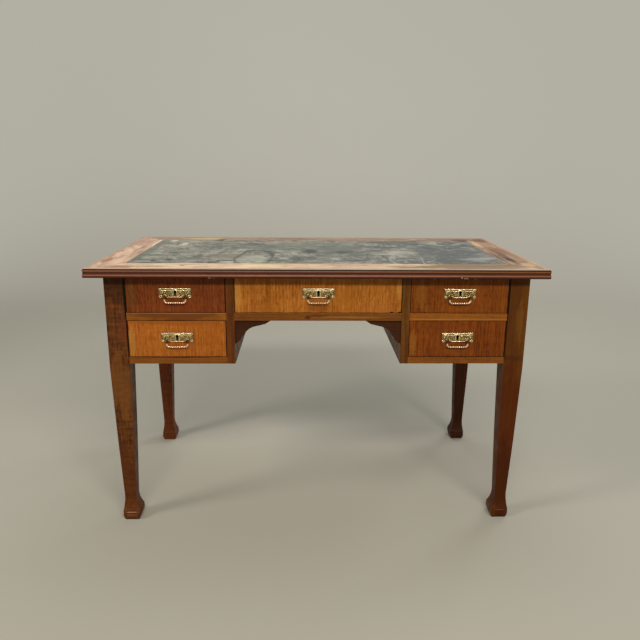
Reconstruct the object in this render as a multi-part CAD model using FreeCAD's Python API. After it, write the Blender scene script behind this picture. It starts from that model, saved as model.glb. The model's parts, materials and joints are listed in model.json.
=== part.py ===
import FreeCAD
import Part
import math
import os

# A free-standing writing desk of about 1905: a leather-lined top with a moulded edge, on four tapered
# legs with carved pad feet, with two shallow pedestals of two drawers and one drawer over the kneehole.
# X runs along the desk, -Y is the side where the drawers open, Z is up. Sizes are in millimetres.
# The origin is on the floor, under the middle of the desk.

Vector = FreeCAD.Vector

# Overall size
desk_width = 1280.0
desk_depth = 688.0
desk_height = 780.0

# Table top: mitred borders round a ground panel, with a leather inset and a moulded lipping
top_thickness = 26.0
side_overhang = 46.0
front_overhang = 34.0
border_width = 78.0
lipping_width = 16.0
panel_tongue_length = 10.0
panel_tongue_thickness = 8.0
leather_recess = 1.5
leather_thickness = 1.2
leather_edge_gap = 0.4

# Section of the lipping, from the underside up: a broad bead, a shallow hollow, a narrow bead, a quirk
# and a rounded nosing. The hollow takes the height that is left. Setbacks are from the outermost line.
broad_bead_height = 9.4
broad_bead_front_rise = 5.4
broad_bead_foot_setback = 3.4
hollow_edge_setback = 1.6
hollow_depth = 0.6
narrow_bead_height = 4.2
narrow_bead_setback = 0.4
narrow_bead_top_setback = 1.8
lid_quirk_height = 1.4
lid_quirk_setback = 3.4
nosing_height = 2.0
nosing_setback = 2.6
nosing_round = 1.8
top_corner_radius = 4.0

# Legs: square down to the taper, which swells a little on its way to the neck, with a carved foot.
# The foot is set towards the inside of the desk, so its outer, inner and depth reaches differ.
leg_size = 57.0
neck_size = 34.0
taper_drop = 12.0
taper_swell = 0.9
neck_height = 76.0
foot_outer_reach = 22.5
foot_inner_reach = 28.5
foot_depth_reach = 28.5
ridge_height = 27.0
quirk_height = 25.0
quirk_depth = 1.0
belly_height = 16.0
belly_setback = 0.2
heel_height = 6.0
heel_setback = 2.4
heel_depth_setback = 0.9
base_outer_setback = 6.0
base_inner_setback = 4.5
base_depth_setback = 1.6

# Case: heights of the openings and rails, from the underside of the top down
upper_opening_height = 105.0
middle_rail_height = 22.0
lower_opening_height = 107.0
bottom_rail_height = 20.0
kneehole_width = 472.0
partition_thickness = 23.0
rail_depth = 70.0
tenon_length = 9.0
tenon_edge_inset = 14.0
tenon_shoulder = 4.0
top_rail_height = 18.0
top_rail_depth = 50.0
top_rail_gap = 1.0
end_panel_thickness = 20.0
back_panel_thickness = 18.0
panel_recess = 4.0
case_tongue_length = 10.0
case_tongue_thickness = 8.0

# Runners that carry the drawers, guides beside them and kickers above them
runner_width = 20.0
guide_height = 16.0

# Kneehole brackets: an outline of nose, slope, hollow, slope and heel, in shares of the reach and the drop
bracket_reach = 103.0
bracket_drop = 69.0
bracket_thickness = 18.0
bracket_setback = 5.0
bracket_nose_shares = ((1.0, 0.0), (0.93, 0.07), (0.835, 0.16))
bracket_hollow_shares = ((0.563, 0.26), (0.4, 0.36), (0.3, 0.5))
bracket_heel_shares = ((0.19, 0.725), (0.09, 0.92), (0.0, 1.0))

# Countersunk screws that hold the top, up through the top rails and the kickers
screw_radius = 2.2
screw_head_radius = 4.4
screw_head_height = 3.0
screw_bite = 14.0
screw_point = 3.0
screw_clearance = 0.1
screw_end_inset = 60.0

# Drawers
front_thickness = 20.0
front_side_gap = 1.5
front_bottom_gap = 0.8
front_top_gap = 1.2
side_thickness = 10.0
back_thickness = 10.0
bottom_thickness = 6.0
bottom_rise = 10.0
groove_depth = 5.0
back_drop = 6.0
running_gap = 0.3
kicker_gap = 1.0
lower_side_gap = 2.0
dovetail_lap = 7.0
dovetail_count = 3
dovetail_slope = 6.0
dovetail_tail_share = 0.62

# Lock, let into the back of each drawer front, with a bolt that shoots up
lock_width = 64.0
lock_below_key = 21.5
lock_wall = 1.5
key_space = 3.0
bolt_width = 14.0
bolt_thickness = 5.0
bolt_below_key = 4.5
bolt_clearance = 0.15
bolt_travel = 9.0
key_pin_radius = 1.5
strike_clearance = 1.0

# Handle: cast back plate with a keyhole and two lugs, and a hanging bail
plate_width = 90.0
plate_height = 26.0
plate_thickness = 2.0
plate_rise = 6.0
plate_ear_radius = 4.6
plate_ear_drop = 1.8
rim_height = 6.0
rim_relief = 1.0
rim_peak_width = 13.0
sill_height = 3.0
keyhole_radius = 3.8
keyhole_slot_width = 4.2
keyhole_rise = 15.5
keyhole_slot_rise = 4.5
nail_radius = 1.1
nail_head = 0.5
nail_inset = 4.5
lug_spacing = 46.0
lug_width = 5.0
lug_height = 7.0
lug_bore_radius = 1.65
pivot_rise = 5.5
pivot_reach = 7.2
bail_side_gap = 0.3
bail_spread = 1.2
bail_drop = 20.0
bail_shoulder_drop = 7.0
bail_elbow_radius = 7.0
bail_radius = 2.7
bail_bar_radius = 2.0
bail_bead_radius = 2.5
bail_bead_count = 6
bail_bar_share = 0.94
bail_pin_radius = 1.5
bail_sides = 12
elbow_steps = 4

overrun = 5.0

# Planes and lines that several pieces share
top_underside = desk_height - top_thickness
case_front = front_overhang - desk_depth / 2
case_back = -case_front
leg_outer = desk_width / 2 - side_overhang
leg_inner = leg_outer - leg_size
partition_inner = kneehole_width / 2
partition_outer = partition_inner + partition_thickness
upper_opening_bottom = top_underside - upper_opening_height
lower_opening_top = upper_opening_bottom - middle_rail_height
lower_opening_bottom = lower_opening_top - lower_opening_height
case_underside = lower_opening_bottom - bottom_rail_height
taper_start_height = case_underside - taper_drop
end_panel_outer = leg_outer - panel_recess
end_panel_inner = end_panel_outer - end_panel_thickness
back_panel_outer = case_back - panel_recess
back_panel_inner = back_panel_outer - back_panel_thickness
runner_front = case_front + rail_depth
top_rail_bottom = top_underside - top_rail_height
top_rail_front = case_front + front_thickness + top_rail_gap
top_rail_back = top_rail_front + top_rail_depth
lock_depth = 2 * lock_wall + key_space + bolt_thickness + 2 * bolt_clearance
lock_back = case_front + front_thickness
lock_front = lock_back - lock_depth
bolt_back = lock_back - lock_wall - bolt_clearance
bolt_front = bolt_back - bolt_thickness
bail_width = lug_spacing + lug_width + 2 * (bail_radius + bail_side_gap)


def block(x_range, y_range, z_range):
    """A box between pairs of coordinates, given in either order."""
    low = [min(pair) for pair in (x_range, y_range, z_range)]
    high = [max(pair) for pair in (x_range, y_range, z_range)]
    size = [high[i] - low[i] for i in range(3)]
    return Part.makeBox(size[0], size[1], size[2], Vector(*low))


def mirrored(shape):
    """The other-handed piece, across the middle of the desk."""
    return shape.mirror(Vector(0, 0, 0), Vector(1, 0, 0))


def mirrored_back(shape):
    """The same piece at the back of the desk."""
    return shape.mirror(Vector(0, 0, 0), Vector(0, 1, 0))


def slab(points, low, high):
    """A level prism over an outline in X and Y."""
    corners = [Vector(x, y, low) for x, y in points]
    face = Part.Face(Part.makePolygon(corners + corners[:1]))
    return face.extrude(Vector(0, 0, high - low))


def without(shape, cutters):
    """The shape less every cutter that reaches it."""
    for cutter in cutters:
        if shape.BoundBox.intersect(cutter.BoundBox):
            shape = shape.cut(cutter)
    return shape


def save(name, *solids):
    """Writes one node. Pieces that repeat share a node as separate solids."""
    shape = solids[0] if len(solids) == 1 else Part.makeCompound(list(solids))
    shape.exportStep(os.path.join("parts", name + ".step"))


# Table top

def frame_side(length, depth, width, low, high):
    """One mitred member of a rectangular frame, along the front edge."""
    half = length / 2
    front = -depth / 2
    outline = [(-half, front), (half, front), (half - width, front + width), (-half + width, front + width)]
    return slab(outline, low, high)


def turned(shape):
    """A quarter turn about the middle of the desk."""
    copy = shape.copy()
    copy.rotate(Vector(0, 0, 0), Vector(0, 0, 1), 90)
    return copy


def lipping_section(front):
    """Outline of the lipping in Y and Z, with its outermost line at y = front."""
    quirk_top = desk_height - nosing_height
    narrow_top = quirk_top - lid_quirk_height
    narrow_bottom = narrow_top - narrow_bead_height
    broad_top = top_underside + broad_bead_height
    bend = math.sqrt(0.5)

    def at(setback, z):
        return Vector(0, front + setback, z)

    inner_foot = at(lipping_width, top_underside)
    bead_foot = at(broad_bead_foot_setback, top_underside)
    bead_front = at(0, top_underside + broad_bead_front_rise)
    hollow_low = at(hollow_edge_setback, broad_top)
    hollow_back = at(hollow_edge_setback + hollow_depth, (broad_top + narrow_bottom) / 2)
    hollow_high = at(hollow_edge_setback, narrow_bottom)
    narrow_front = at(narrow_bead_setback, (narrow_bottom + narrow_top) / 2)
    narrow_back = at(narrow_bead_top_setback, narrow_top)
    quirk_low = at(lid_quirk_setback, narrow_top)
    quirk_high = at(lid_quirk_setback, quirk_top)
    nosing_foot = at(nosing_setback, quirk_top)
    nosing_middle = at(nosing_setback + nosing_round * (1 - bend), quirk_top + nosing_height * bend)
    nosing_back = at(nosing_setback + nosing_round, desk_height)
    inner_head = at(lipping_width, desk_height)
    edges = [
        Part.LineSegment(inner_foot, bead_foot),
        Part.Arc(bead_foot, bead_front, hollow_low),
        Part.Arc(hollow_low, hollow_back, hollow_high),
        Part.Arc(hollow_high, narrow_front, narrow_back),
        Part.LineSegment(narrow_back, quirk_low),
        Part.LineSegment(quirk_low, quirk_high),
        Part.LineSegment(quirk_high, nosing_foot),
        Part.Arc(nosing_foot, nosing_middle, nosing_back),
        Part.LineSegment(nosing_back, inner_head),
        Part.LineSegment(inner_head, inner_foot),
    ]
    return Part.Face(Part.Wire([edge.toShape() for edge in edges]))


def lipping(length, depth):
    """One mitred length of the moulded lipping, along the front edge."""
    section = lipping_section(-depth / 2)
    section.translate(Vector(-length / 2, 0, 0))
    bar = section.extrude(Vector(length, 0, 0))
    return bar.common(frame_side(length, depth, lipping_width, top_underside - overrun, desk_height + overrun))


def rounded_plan():
    """The top's outline with its corners softened, as a prism that trims the lipping."""
    half_x = desk_width / 2
    half_y = desk_depth / 2
    prism = block((-half_x, half_x), (-half_y, half_y), (top_underside - overrun, desk_height + overrun))
    upright = [edge for edge in prism.Edges if edge.Length > top_thickness and edge.tangentAt(0).z ** 2 > 0.5]
    return prism.makeFillet(top_corner_radius, upright)


def ground_panel():
    """The panel under the leather, with a tongue all round that seats in the borders."""
    half_x = desk_width / 2 - lipping_width - border_width
    half_y = desk_depth / 2 - lipping_width - border_width
    field = block((-half_x, half_x), (-half_y, half_y), (top_underside, desk_height - leather_recess))
    middle = top_underside + top_thickness / 2
    tongue = block(
        (-half_x - panel_tongue_length, half_x + panel_tongue_length),
        (-half_y - panel_tongue_length, half_y + panel_tongue_length),
        (middle - panel_tongue_thickness / 2, middle + panel_tongue_thickness / 2),
    )
    return field.fuse(tongue).removeSplitter()


def writing_leather():
    """The leather, glued down inside the borders."""
    half_x = desk_width / 2 - lipping_width - border_width - leather_edge_gap
    half_y = desk_depth / 2 - lipping_width - border_width - leather_edge_gap
    low = desk_height - leather_recess
    return block((-half_x, half_x), (-half_y, half_y), (low, low + leather_thickness))


def screw_body(centre_x, centre_y, clearance):
    """A countersunk screw with its head level with the rail's underside, or its hole with a clearance."""
    radius = screw_radius + clearance
    head = screw_head_radius + clearance
    tip = top_underside + screw_bite + clearance
    outline = [(0, 0), (head, 0), (radius, screw_head_height + clearance),
               (radius, tip - screw_point - top_rail_bottom), (0, tip - top_rail_bottom), (0, 0)]
    points = [Vector(centre_x + across, centre_y, top_rail_bottom + rise) for across, rise in outline]
    face = Part.Face(Part.makePolygon(points))
    return face.revolve(Vector(centre_x, centre_y, 0), Vector(0, 0, 1), 360)


def screw_places():
    """Two screws in each side rail, three in the centre one, and one near the back of each side kicker."""
    rail_y = (top_rail_front + top_rail_back) / 2
    kicker_y = case_back - leg_size - screw_end_inset
    near = partition_outer + screw_end_inset
    far = leg_inner - screw_end_inset
    centre_reach = partition_inner - screw_end_inset
    places = [(0.0, rail_y)]
    for side in (-1, 1):
        places += [(side * x, rail_y) for x in (centre_reach, near, far)]
        places += [(side * (partition_outer + runner_width / 2), kicker_y)]
        places += [(side * (leg_inner - runner_width / 2), kicker_y)]
    return places


def make_top(strikes, holes):
    panel = ground_panel()
    frame_width = desk_width - 2 * lipping_width
    frame_depth = desk_depth - 2 * lipping_width
    front = frame_side(frame_width, frame_depth, border_width, top_underside, desk_height).cut(panel)
    side = turned(frame_side(frame_depth, frame_width, border_width, top_underside, desk_height)).cut(panel)
    plan = rounded_plan()
    front_lipping = lipping(desk_width, desk_depth).common(plan)
    side_lipping = turned(lipping(desk_depth, desk_width)).common(plan)
    save("top_ground_panel", without(panel, holes))
    save("top_front_border", without(front, strikes + holes))
    save("top_back_border", mirrored_back(front))
    save("top_right_border", side)
    save("top_left_border", mirrored(side))
    save("top_edge_lipping", front_lipping, mirrored_back(front_lipping), side_lipping, mirrored(side_lipping))
    save("writing_leather", writing_leather())
    save("top_fixing_screws", *[screw_body(x, y, 0) for x, y in screw_places()])


# Legs

def leg_outline(reach, heel_inset, base_inset):
    """One side of the leg as half-width and height, from the top down to the floor."""
    stock = leg_size / 2
    neck = neck_size / 2
    rise = neck_height - ridge_height
    flare = reach - neck
    flare_radius = (rise ** 2 + flare ** 2) / (2 * flare)
    middle_angle = math.asin(rise / flare_radius) / 2
    flare_middle = (
        neck + flare_radius * (1 - math.cos(middle_angle)),
        neck_height - flare_radius * math.sin(middle_angle),
    )
    taper_middle = ((stock + neck) / 2 + taper_swell, (taper_start_height + neck_height) / 2)
    quirk = (reach - quirk_depth, quirk_height)
    heel = (reach - heel_inset, heel_height)
    return [
        ("line", (stock, top_underside), (stock, taper_start_height)),
        ("arc", (stock, taper_start_height), taper_middle, (neck, neck_height)),
        ("arc", (neck, neck_height), flare_middle, (reach, ridge_height)),
        ("line", (reach, ridge_height), quirk),
        ("arc", quirk, (reach - belly_setback, belly_height), heel),
        ("line", heel, (reach - base_inset, 0.0)),
    ]


def leg_blank(centre_x, centre_y, sides):
    """The leg sawn to its outline in X and Z, a full board deep in Y. Each side comes with its foot's sizes."""
    edges = []
    feet = []
    for side, foot in sides:
        for kind, *points in leg_outline(*foot):
            placed = [Vector(centre_x + side * half, centre_y, height) for half, height in points]
            curve = Part.Arc(*placed) if kind == "arc" else Part.LineSegment(*placed)
            edges.append(curve.toShape())
        feet.append(placed[-1])
    left = Vector(centre_x - leg_size / 2, centre_y, top_underside)
    right = Vector(centre_x + leg_size / 2, centre_y, top_underside)
    edges.append(Part.LineSegment(left, right).toShape())
    edges.append(Part.LineSegment(*feet).toShape())
    face = Part.Face(Part.Wire(Part.__sortEdges__(edges)))
    face.translate(Vector(0, -leg_size, 0))
    return face.extrude(Vector(0, 2 * leg_size, 0))


def leg():
    """The front right leg: the same outline sawn from two sides."""
    centre_x = leg_outer - leg_size / 2
    centre_y = case_front + leg_size / 2
    outer_foot = (foot_outer_reach, heel_setback, base_outer_setback)
    inner_foot = (foot_inner_reach, heel_setback, base_inner_setback)
    deep_foot = (foot_depth_reach, heel_depth_setback, base_depth_setback)
    seen_from_front = leg_blank(centre_x, centre_y, ((1, outer_foot), (-1, inner_foot)))
    seen_from_side = leg_blank(centre_x, centre_y, ((1, deep_foot), (-1, deep_foot)))
    seen_from_side.rotate(Vector(centre_x, centre_y, 0), Vector(0, 0, 1), 90)
    return seen_from_front.common(seen_from_side)


# Case

def rail(x_range, y_range, z_range):
    """A level board between two uprights, with a stub tenon at each end."""
    left, right = x_range
    front, back = y_range
    low, high = z_range
    board = block(x_range, y_range, z_range)
    tenon = block(
        (left - tenon_length, right + tenon_length),
        (front + tenon_edge_inset, back - tenon_edge_inset),
        (low + tenon_shoulder, high - tenon_shoulder),
    )
    return board.fuse(tenon).removeSplitter()


def end_panel():
    """The right end, tongued into the front and back legs."""
    between_legs = (case_front + leg_size, case_back - leg_size)
    heights = (case_underside, top_underside)
    board = block((end_panel_inner, end_panel_outer), between_legs, heights)
    middle = (end_panel_inner + end_panel_outer) / 2
    tongue = block(
        (middle - case_tongue_thickness / 2, middle + case_tongue_thickness / 2),
        (between_legs[0] - case_tongue_length, between_legs[1] + case_tongue_length),
        heights,
    )
    return board.fuse(tongue).removeSplitter()


def back_panel(left, right, low):
    """A board between two uprights at the back, tongued into both."""
    heights = (low, top_underside)
    board = block((left, right), (back_panel_inner, back_panel_outer), heights)
    middle = (back_panel_inner + back_panel_outer) / 2
    tongue = block(
        (left - case_tongue_length, right + case_tongue_length),
        (middle - case_tongue_thickness / 2, middle + case_tongue_thickness / 2),
        heights,
    )
    return board.fuse(tongue).removeSplitter()


def outer_runner(low, high):
    """The right pedestal's outer runner, with a guide that keeps the drawer off the end panel."""
    lengths = (runner_front, case_back - leg_size)
    bearer = block((leg_inner - runner_width, end_panel_inner), lengths, (low, high))
    guide = block((leg_inner, end_panel_inner), lengths, (high, high + guide_height))
    return bearer.fuse(guide).removeSplitter()


def partition_runner(face, towards, low, high, front):
    """A plain runner or kicker on a face of the partition."""
    return block((face, face + towards * runner_width), (front, back_panel_inner), (low, high))


def kneehole_bracket():
    """The right bracket, under the centre rail and against the partition."""
    front = case_front + bracket_setback

    def points(shares):
        return [
            Vector(partition_inner - reach * bracket_reach, front, lower_opening_top - drop * bracket_drop)
            for reach, drop in shares
        ]

    nose = points(bracket_nose_shares)
    hollow = points(bracket_hollow_shares)
    heel = points(bracket_heel_shares)
    corner = Vector(partition_inner, front, lower_opening_top)
    edges = [
        Part.Arc(*nose),
        Part.LineSegment(nose[-1], hollow[0]),
        Part.Arc(*hollow),
        Part.LineSegment(hollow[-1], heel[0]),
        Part.Arc(*heel),
        Part.LineSegment(heel[-1], corner),
        Part.LineSegment(corner, nose[0]),
    ]
    face = Part.Face(Part.Wire([edge.toShape() for edge in edges]))
    return face.extrude(Vector(0, bracket_thickness, 0))


def make_case(strikes, holes):
    rail_run = (case_front, case_front + rail_depth)
    middle_heights = (lower_opening_top, upper_opening_bottom)
    bottom_heights = (case_underside, lower_opening_bottom)
    top_heights = (top_rail_bottom, top_underside)
    pedestal = (partition_outer, leg_inner)
    kneehole = (-partition_inner, partition_inner)

    centre_rail = rail(kneehole, rail_run, middle_heights)
    middle_rail = rail(pedestal, rail_run, middle_heights)
    bottom_rail = rail(pedestal, rail_run, bottom_heights)
    pedestal_top_rail = rail(pedestal, (top_rail_front, top_rail_back), top_heights)
    centre_top_rail = rail(kneehole, (top_rail_front, top_rail_back), top_heights)
    end = end_panel()
    pedestal_back = back_panel(partition_outer, leg_inner, case_underside)
    centre_back = back_panel(-partition_inner, partition_inner, lower_opening_top)

    rails = [centre_rail, middle_rail, bottom_rail, pedestal_top_rail, centre_top_rail]
    partition = block(
        (partition_inner, partition_outer), (case_front, case_back), (case_underside, top_underside)
    )
    partition = without(partition, rails + [pedestal_back, centre_back])
    front_leg = without(leg(), [middle_rail, bottom_rail, pedestal_top_rail, end])
    back_leg = without(mirrored_back(leg()), [pedestal_back, end])

    save("front_right_leg", front_leg)
    save("front_left_leg", mirrored(front_leg))
    save("back_right_leg", back_leg)
    save("back_left_leg", mirrored(back_leg))
    save("right_end_panel", end)
    save("left_end_panel", mirrored(end))
    save("right_partition", partition)
    save("left_partition", mirrored(partition))
    save("right_back_panel", pedestal_back)
    save("left_back_panel", mirrored(pedestal_back))
    save("centre_back_panel", centre_back)
    save("centre_rail", centre_rail)
    middle_rail = without(middle_rail, strikes)
    save("middle_rails", middle_rail, mirrored(middle_rail))
    save("bottom_rails", bottom_rail, mirrored(bottom_rail))
    pedestal_top_rail = without(pedestal_top_rail, holes)
    save("top_rails", pedestal_top_rail, without(centre_top_rail, holes), mirrored(pedestal_top_rail))
    bracket = kneehole_bracket()
    save("kneehole_brackets", bracket, mirrored(bracket))

    kicker_bottom, kicker_top = top_heights
    outer_kicker = block(
        (leg_inner - runner_width, end_panel_inner), (top_rail_back, case_back - leg_size), top_heights
    )
    right_side = [
        outer_runner(*middle_heights),
        outer_runner(*bottom_heights),
        partition_runner(partition_outer, 1, *middle_heights, runner_front),
        partition_runner(partition_outer, 1, *bottom_heights, runner_front),
        partition_runner(partition_inner, -1, *middle_heights, runner_front),
        outer_kicker,
        partition_runner(partition_outer, 1, kicker_bottom, kicker_top, top_rail_back),
        partition_runner(partition_inner, -1, kicker_bottom, kicker_top, top_rail_back),
    ]
    right_side = [without(piece, holes) for piece in right_side]
    save("drawer_runners", *right_side, *[mirrored(piece) for piece in right_side])


# Lock

def keyhole(centre_x, centre_z, y_range):
    """A keyhole: a round eye over a straight slot. The slot reaches down to the level of its own value."""
    front, back = y_range
    eye = Part.makeCylinder(keyhole_radius, back - front, Vector(centre_x, front, centre_z), Vector(0, 1, 0))
    half = keyhole_slot_width / 2
    foot = centre_z - keyhole_rise + keyhole_slot_rise
    slot = block((centre_x - half, centre_x + half), y_range, (foot, centre_z))
    return eye.fuse(slot).removeSplitter()


def lock_box(centre_x, top, key_z):
    """The space that the lock fills in the drawer front, from its top edge to below the keyhole."""
    half = lock_width / 2
    return block((centre_x - half, centre_x + half), (lock_front, lock_back), (key_z - lock_below_key, top))


def lock_case(centre_x, top, key_z):
    """The lock's case: a closed box with a keyhole, a slot for the bolt and a key pin inside."""
    half = lock_width / 2 - lock_wall
    cavity = block(
        (centre_x - half, centre_x + half),
        (lock_front + lock_wall, lock_back - lock_wall),
        (key_z - lock_below_key + lock_wall, top - lock_wall),
    )
    slot_half = bolt_width / 2 + bolt_clearance
    bolt_slot = block(
        (centre_x - slot_half, centre_x + slot_half),
        (bolt_front - bolt_clearance, bolt_back + bolt_clearance),
        (top - 2 * lock_wall, top + overrun),
    )
    key_slot = keyhole(centre_x, key_z, (lock_front - overrun, lock_front + lock_wall + key_space / 2))
    pin_length = lock_back - lock_wall - lock_front
    pin = Part.makeCylinder(key_pin_radius, pin_length, Vector(centre_x, lock_front, key_z), Vector(0, 1, 0))
    case = lock_box(centre_x, top, key_z).cut(cavity).cut(bolt_slot).cut(key_slot)
    return case.fuse(pin).removeSplitter()


def lock_bolt(centre_x, top, key_z):
    """The bolt, drawn back so that its end is level with the drawer's edge. A slot rides on the key pin."""
    half = bolt_width / 2
    low = key_z - bolt_travel - bolt_below_key
    bar = block((centre_x - half, centre_x + half), (bolt_front, bolt_back), (low, top))
    slot_radius = key_pin_radius + bolt_clearance
    depth = (bolt_front - overrun, bolt_back + overrun)
    slot = block((centre_x - slot_radius, centre_x + slot_radius), depth, (key_z - bolt_travel, key_z))
    for height in (key_z, key_z - bolt_travel):
        start = Vector(centre_x, depth[0], height)
        slot = slot.fuse(Part.makeCylinder(slot_radius, depth[1] - depth[0], start, Vector(0, 1, 0)))
    return bar.cut(slot)


def strike(centre_x, underside):
    """The slot above a drawer that the bolt shoots into."""
    half = bolt_width / 2 + strike_clearance
    return block(
        (centre_x - half, centre_x + half),
        (bolt_front - strike_clearance, bolt_back + strike_clearance),
        (underside - overrun, underside + bolt_travel + strike_clearance - front_top_gap),
    )


# Handle

def handle_plate(centre_x, bottom):
    """The cast back plate: a raised rim that peaks over the keyhole, a sill, corner ears and two lugs."""
    face = case_front - plate_thickness
    half = plate_width / 2
    top = bottom + plate_height
    plate = block((centre_x - half, centre_x + half), (face, case_front), (bottom, top))
    raised = (face - rim_relief, face)
    plate = plate.fuse(block((centre_x - half, centre_x + half), raised, (top - rim_height, top)))
    plate = plate.fuse(block((centre_x - half, centre_x + half), raised, (bottom, bottom + sill_height)))
    eye_z = bottom + keyhole_rise
    peak = [(-rim_peak_width, top), (-rim_peak_width, top - rim_height), (-keyhole_radius - rim_relief, eye_z),
            (-keyhole_radius, bottom), (keyhole_radius, bottom), (keyhole_radius + rim_relief, eye_z),
            (rim_peak_width, top - rim_height), (rim_peak_width, top)]
    corners = [Vector(centre_x + x, raised[0], z) for x, z in peak]
    shield = Part.Face(Part.makePolygon(corners + corners[:1])).extrude(Vector(0, rim_relief, 0))
    plate = plate.fuse(shield)
    for side in (-1, 1):
        ear_x = centre_x + side * (half - plate_ear_radius)
        place = Vector(ear_x, raised[0], bottom + plate_ear_radius - plate_ear_drop)
        ear = Part.makeCylinder(plate_ear_radius, plate_thickness + rim_relief, place, Vector(0, 1, 0))
        plate = plate.fuse(ear)
        plate = plate.fuse(lug(centre_x + side * lug_spacing / 2, bottom))
    pivot = Vector(centre_x - half, case_front - pivot_reach, bottom + pivot_rise)
    bore = Part.makeCylinder(lug_bore_radius, plate_width, pivot, Vector(1, 0, 0))
    hole = keyhole(centre_x, eye_z, (face - overrun, case_front + overrun))
    return plate.cut(bore).cut(hole).removeSplitter()


def lug(centre_x, bottom):
    """One of the two lugs that hold the bail's pins, rounded at the front."""
    pivot_y = case_front - pivot_reach
    pivot_z = bottom + pivot_rise
    half = lug_height / 2
    arm = block(
        (centre_x - lug_width / 2, centre_x + lug_width / 2),
        (pivot_y, case_front - plate_thickness),
        (pivot_z - half, pivot_z + half),
    )
    start = Vector(centre_x - lug_width / 2, pivot_y, pivot_z)
    return arm.fuse(Part.makeCylinder(half, lug_width, start, Vector(1, 0, 0)))


def handle_nails(centre_x, bottom):
    """The four nails that hold the plate, through its corners and into the drawer front."""
    face = case_front - plate_thickness - rim_relief
    nails = []
    for side in (-1, 1):
        for height in (bottom + nail_inset - plate_ear_drop, bottom + plate_height - nail_inset):
            place = Vector(centre_x + side * (plate_width / 2 - nail_inset), face - nail_head, height)
            nails.append(Part.makeCylinder(nail_radius, nail_head, place, Vector(0, 1, 0)))
    return nails


def rod(centres, radii, sides):
    """A cast bar of many flat sides along a bent line in a vertical plane, mitred at each bend."""
    rings = []
    for i, centre in enumerate(centres):
        before = (centre - centres[max(i - 1, 0)]) if i else (centres[1] - centre)
        after = (centres[min(i + 1, len(centres) - 1)] - centre) if i < len(centres) - 1 else before
        before = Vector(before).normalize()
        after = Vector(after).normalize()
        along = (before + after).normalize()
        across = along.cross(Vector(0, 1, 0))
        stretch = 1 / before.dot(along)
        ring = []
        for k in range(sides):
            angle = 2 * math.pi * (k + 0.5) / sides
            offset = across * (radii[i] * math.cos(angle) * stretch) + Vector(0, radii[i] * math.sin(angle), 0)
            ring.append(centre + offset)
        rings.append(ring)
    faces = [Part.Face(Part.makePolygon(ring + ring[:1])) for ring in (rings[0], rings[-1])]
    for low, high in zip(rings, rings[1:]):
        for k in range(sides):
            n = (k + 1) % sides
            faces.append(Part.Face(Part.makePolygon([low[k], low[n], high[n], high[k], low[k]])))
    solid = Part.Solid(Part.Shell(faces))
    if solid.Volume < 0:
        solid.reverse()
    return solid


def bail_line():
    """Half the bail's centre line as offsets from the pivot, from the pin down to the bar, with its radii."""
    side = bail_width / 2
    low = side + bail_spread / 2
    elbow_x = low - bail_elbow_radius
    elbow_z = -bail_drop + bail_elbow_radius
    points = [(side, 0.0), (side, -bail_shoulder_drop), (low, elbow_z)]
    for step in range(1, elbow_steps + 1):
        angle = math.pi / 2 * step / elbow_steps
        points.append(
            (elbow_x + bail_elbow_radius * math.cos(angle), elbow_z - bail_elbow_radius * math.sin(angle))
        )
    return points


def bail(centre_x, bottom):
    """The hanging bail: two arms with inward pins, rounded elbows and a bar of soft beads."""
    pivot = Vector(centre_x, case_front - pivot_reach, bottom + pivot_rise)
    half = bail_line()
    bar_half = half[-1][0]
    steps = 2 * bail_bead_count
    bar = []
    bar_radii = []
    for i in range(steps + 1):
        bar.append((bar_half * bail_bar_share * (1 - 2 * i / steps), -bail_drop))
        bar_radii.append(bail_bead_radius if i % 2 else bail_bar_radius)
    bar_radii[0] = bail_radius
    bar_radii[-1] = bail_radius
    line = half + bar + [(-x, z) for x, z in reversed(half)]
    radii = [bail_radius] * len(half) + bar_radii + [bail_radius] * len(half)
    line[0] = (line[0][0], line[0][1] + bail_radius)
    line[-1] = (line[-1][0], line[-1][1] + bail_radius)
    body = rod([pivot + Vector(x, 0, z) for x, z in line], radii, bail_sides)
    pin_length = (bail_width - lug_spacing + lug_width) / 2
    for side in (-1, 1):
        start = pivot + Vector(side * bail_width / 2, 0, 0)
        body = body.fuse(Part.makeCylinder(bail_pin_radius, pin_length, start, Vector(-side, 0, 0)))
    return body


# Drawers

def dovetail_tails(x_range, shoulder, end, low, high):
    """The tails of one corner joint, widening from the shoulder to the end of the side."""
    pitch = (high - low) / dovetail_count
    half = pitch * dovetail_tail_share / 2
    spread = abs(end - shoulder) / dovetail_slope
    tails = []
    for i in range(dovetail_count):
        middle = low + pitch * (i + 0.5)
        outline = [(shoulder, middle - half), (end, middle - half - spread),
                   (end, middle + half + spread), (shoulder, middle + half)]
        corners = [Vector(min(x_range), y, z) for y, z in outline]
        face = Part.Face(Part.makePolygon(corners + corners[:1]))
        tails.append(face.extrude(Vector(max(x_range) - min(x_range), 0, 0)))
    return tails


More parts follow.
